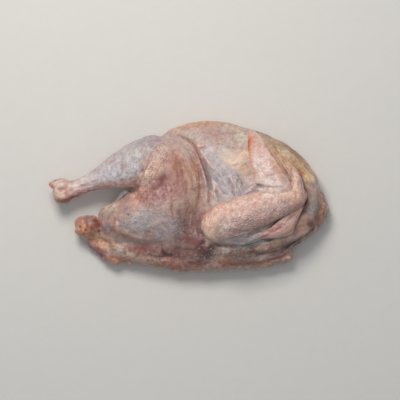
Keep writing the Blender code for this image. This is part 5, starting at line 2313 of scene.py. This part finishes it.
@dataclass
class Studio:
    """Floor, camera and lights round the bird.

    Attributes:
        middle: The plan's own middle in the frame, in millimetres.
        distance: How far above the board the camera stands.
        view: The width of the picture at the height focus.
        focus: The height over the board at which view is measured.
        aim: The picture's middle on the bird's plan, in metres.
        board: The floor's finish.
    """

    middle: np.ndarray
    distance: float = 4.0
    view: float = 0.5818
    focus: float = 0.03
    aim: tuple[float, float] = (0.0182, -0.0044)
    board: MattBoard = MattBoard()

    def floor(self) -> None:
        """Lays the board that the bird lies on."""
        half = 1.6
        mesh = bpy.data.meshes.new("board")
        corners = [(-half, -half, 0), (half, -half, 0), (half, half, 0), (-half, half, 0)]
        mesh.from_pydata(corners, [], [(0, 1, 2, 3)])
        board = bpy.data.objects.new("board", mesh)
        board.location.z = -0.0002
        mesh.materials.append(self.board.material())
        bpy.context.scene.collection.objects.link(board)

    def camera(self) -> None:
        """Hangs the camera straight over the bird, looking down."""
        data = bpy.data.cameras.new("overhead")
        data.sensor_width = 36.0
        data.lens = data.sensor_width / 2 / (self.view / 2 / (self.distance - self.focus))
        camera = bpy.data.objects.new("overhead", data)
        shift = self.middle * MM
        camera.location = (self.aim[0] + shift[0], self.aim[1] + shift[1], self.distance)
        bpy.context.scene.collection.objects.link(camera)
        bpy.context.scene.camera = camera

    def light(self, name: str, place: tuple[float, float, float], size: float, power: float,
              colour: str) -> None:
        """Hangs one square soft light that faces the bird.

        Args:
            name: The light's name.
            place: Where it hangs, in metres.
            size: Its side.
            power: Its power in watts.
            colour: Its sRGB hex colour.
        """
        data = bpy.data.lights.new(name, "AREA")
        data.size = size
        data.energy = power
        data.color = linear(colour)
        lamp = bpy.data.objects.new(name, data)
        lamp.location = place
        lamp.rotation_euler = (-Vector(place)).to_track_quat("-Z", "Y").to_euler()
        bpy.context.scene.collection.objects.link(lamp)

    def build(self) -> None:
        """Sets up floor, camera, lights and the room's faint light."""
        self.floor()
        self.camera()
        self.light("window", (-0.33, 0.89, 1.42), 0.6, 18.5, "#fffaf4")
        self.light("ceiling", (0.1, 0.2, 1.6), 1.0, 2.0, "#f4f8ff")
        world = bpy.data.worlds.new("room")
        world.use_nodes = True
        world.node_tree.nodes["Background"].inputs["Color"].default_value = rgba("#e8ecf2")
        world.node_tree.nodes["Background"].inputs["Strength"].default_value = 0.4
        bpy.context.scene.world = world
        bpy.context.scene.view_settings.view_transform = "Standard"


def skin_masks(surface: Surface, pits: list[tuple[float, ...]], flecks: list[tuple[float, ...]]) -> dict:
    """Gives the masks of feather pits, fat flecks and tight skin, each the greatest of soft ovals.

    Args:
        surface: The surface to mask.
        pits: Ovals as x, y, long, wide, turn and strength.
        flecks: Ovals in the same form.

    Returns:
        The masks by attribute name.
    """
    masks = {}
    for name, ovals in (("pits", pits), ("flecks", flecks), ("tight", TIGHT)):
        total = np.zeros(len(surface.points))
        for x, y, long, wide, turn, strength in ovals:
            total = np.maximum(total, strength * oval(surface, x, y, long, wide, turn))
        masks[name] = total
    return masks


BODY_PITS = [(-30, -30, 70, 30, 0, 0.3), (-62, -6, 18, 18, 0, 0.5), (60, -96, 40, 8, 0, 0.6)]
BODY_FLECKS = [(-55, -34, 46, 24, -6, 0.8), (60, 30, 60, 60, 0, 0.5), (-100, 36, 70, 26, 22, 0.35),
               (70, -80, 40, 14, 0, 0.6)]
TIGHT = [(-62, 62, 46, 30, 14, 1.0), (-110, 38, 46, 20, 24, 0.7), (30, 90, 100, 30, -4, 0.8),
         (46, 40, 40, 36, 0, 0.5), (114, 44, 26, 50, 18, 0.8), (160, 20, 14, 34, 0, 0.5),
         (140, -44, 26, 14, 30, 0.6), (180, -10, 14, 30, 0, 0.7), (-186, 9, 22, 22, 0, 0.9),
         (-150, 16, 34, 14, 12, 0.5)]
WING_PITS = [(90, -30, 60, 22, 18, 0.4)]
WING_FLECKS = [(110, 40, 26, 50, 20, 0.6), (90, -20, 70, 26, 16, 0.3)]


def main() -> None:
    """Builds the bird's skins, dresses them and lights them."""
    logging.basicConfig(level=logging.INFO, format="%(message)s")
    bird = HalfBird()
    body = bird.body_skin()
    low, high = (np.array(corner) / MM for corner in CAD_BOX)
    middle = (low + high) / 2 - (body.surface.points.min(axis=0) + body.surface.points.max(axis=0)) / 2
    middle[2] = 0
    LOG.info("set at %.2f, %.2f mm", middle[0], middle[1])
    face = bird.sawn_face(body.surface)
    hides = [
        (body, BODY_PITS, BODY_FLECKS),
        (bird.wing_skin("forearm_skin", bird.forearm, 25.0, 23), WING_PITS, WING_FLECKS),
        (bird.wing_skin("hand_skin", bird.hand, 25.0, 29), WING_PITS, WING_FLECKS),
        (bird.web(), WING_PITS, WING_FLECKS),
        (bird.membrane(), [], WING_FLECKS),
    ]
    skin = PoultrySkin().material()
    for hide, pits, flecks in hides:
        piece = hide.settled(middle, skin_masks(hide.surface, pits, flecks))
        piece.data.materials.append(skin)
        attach(piece, BODY)
        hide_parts(NODE)
    cut = placed(face.mesh, face.points + middle)
    cut.data.materials.append(SawnMeat().material())
    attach(cut, BODY)
    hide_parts(NODE)
    Studio(middle).build()


if __name__ == "__main__":
    main()
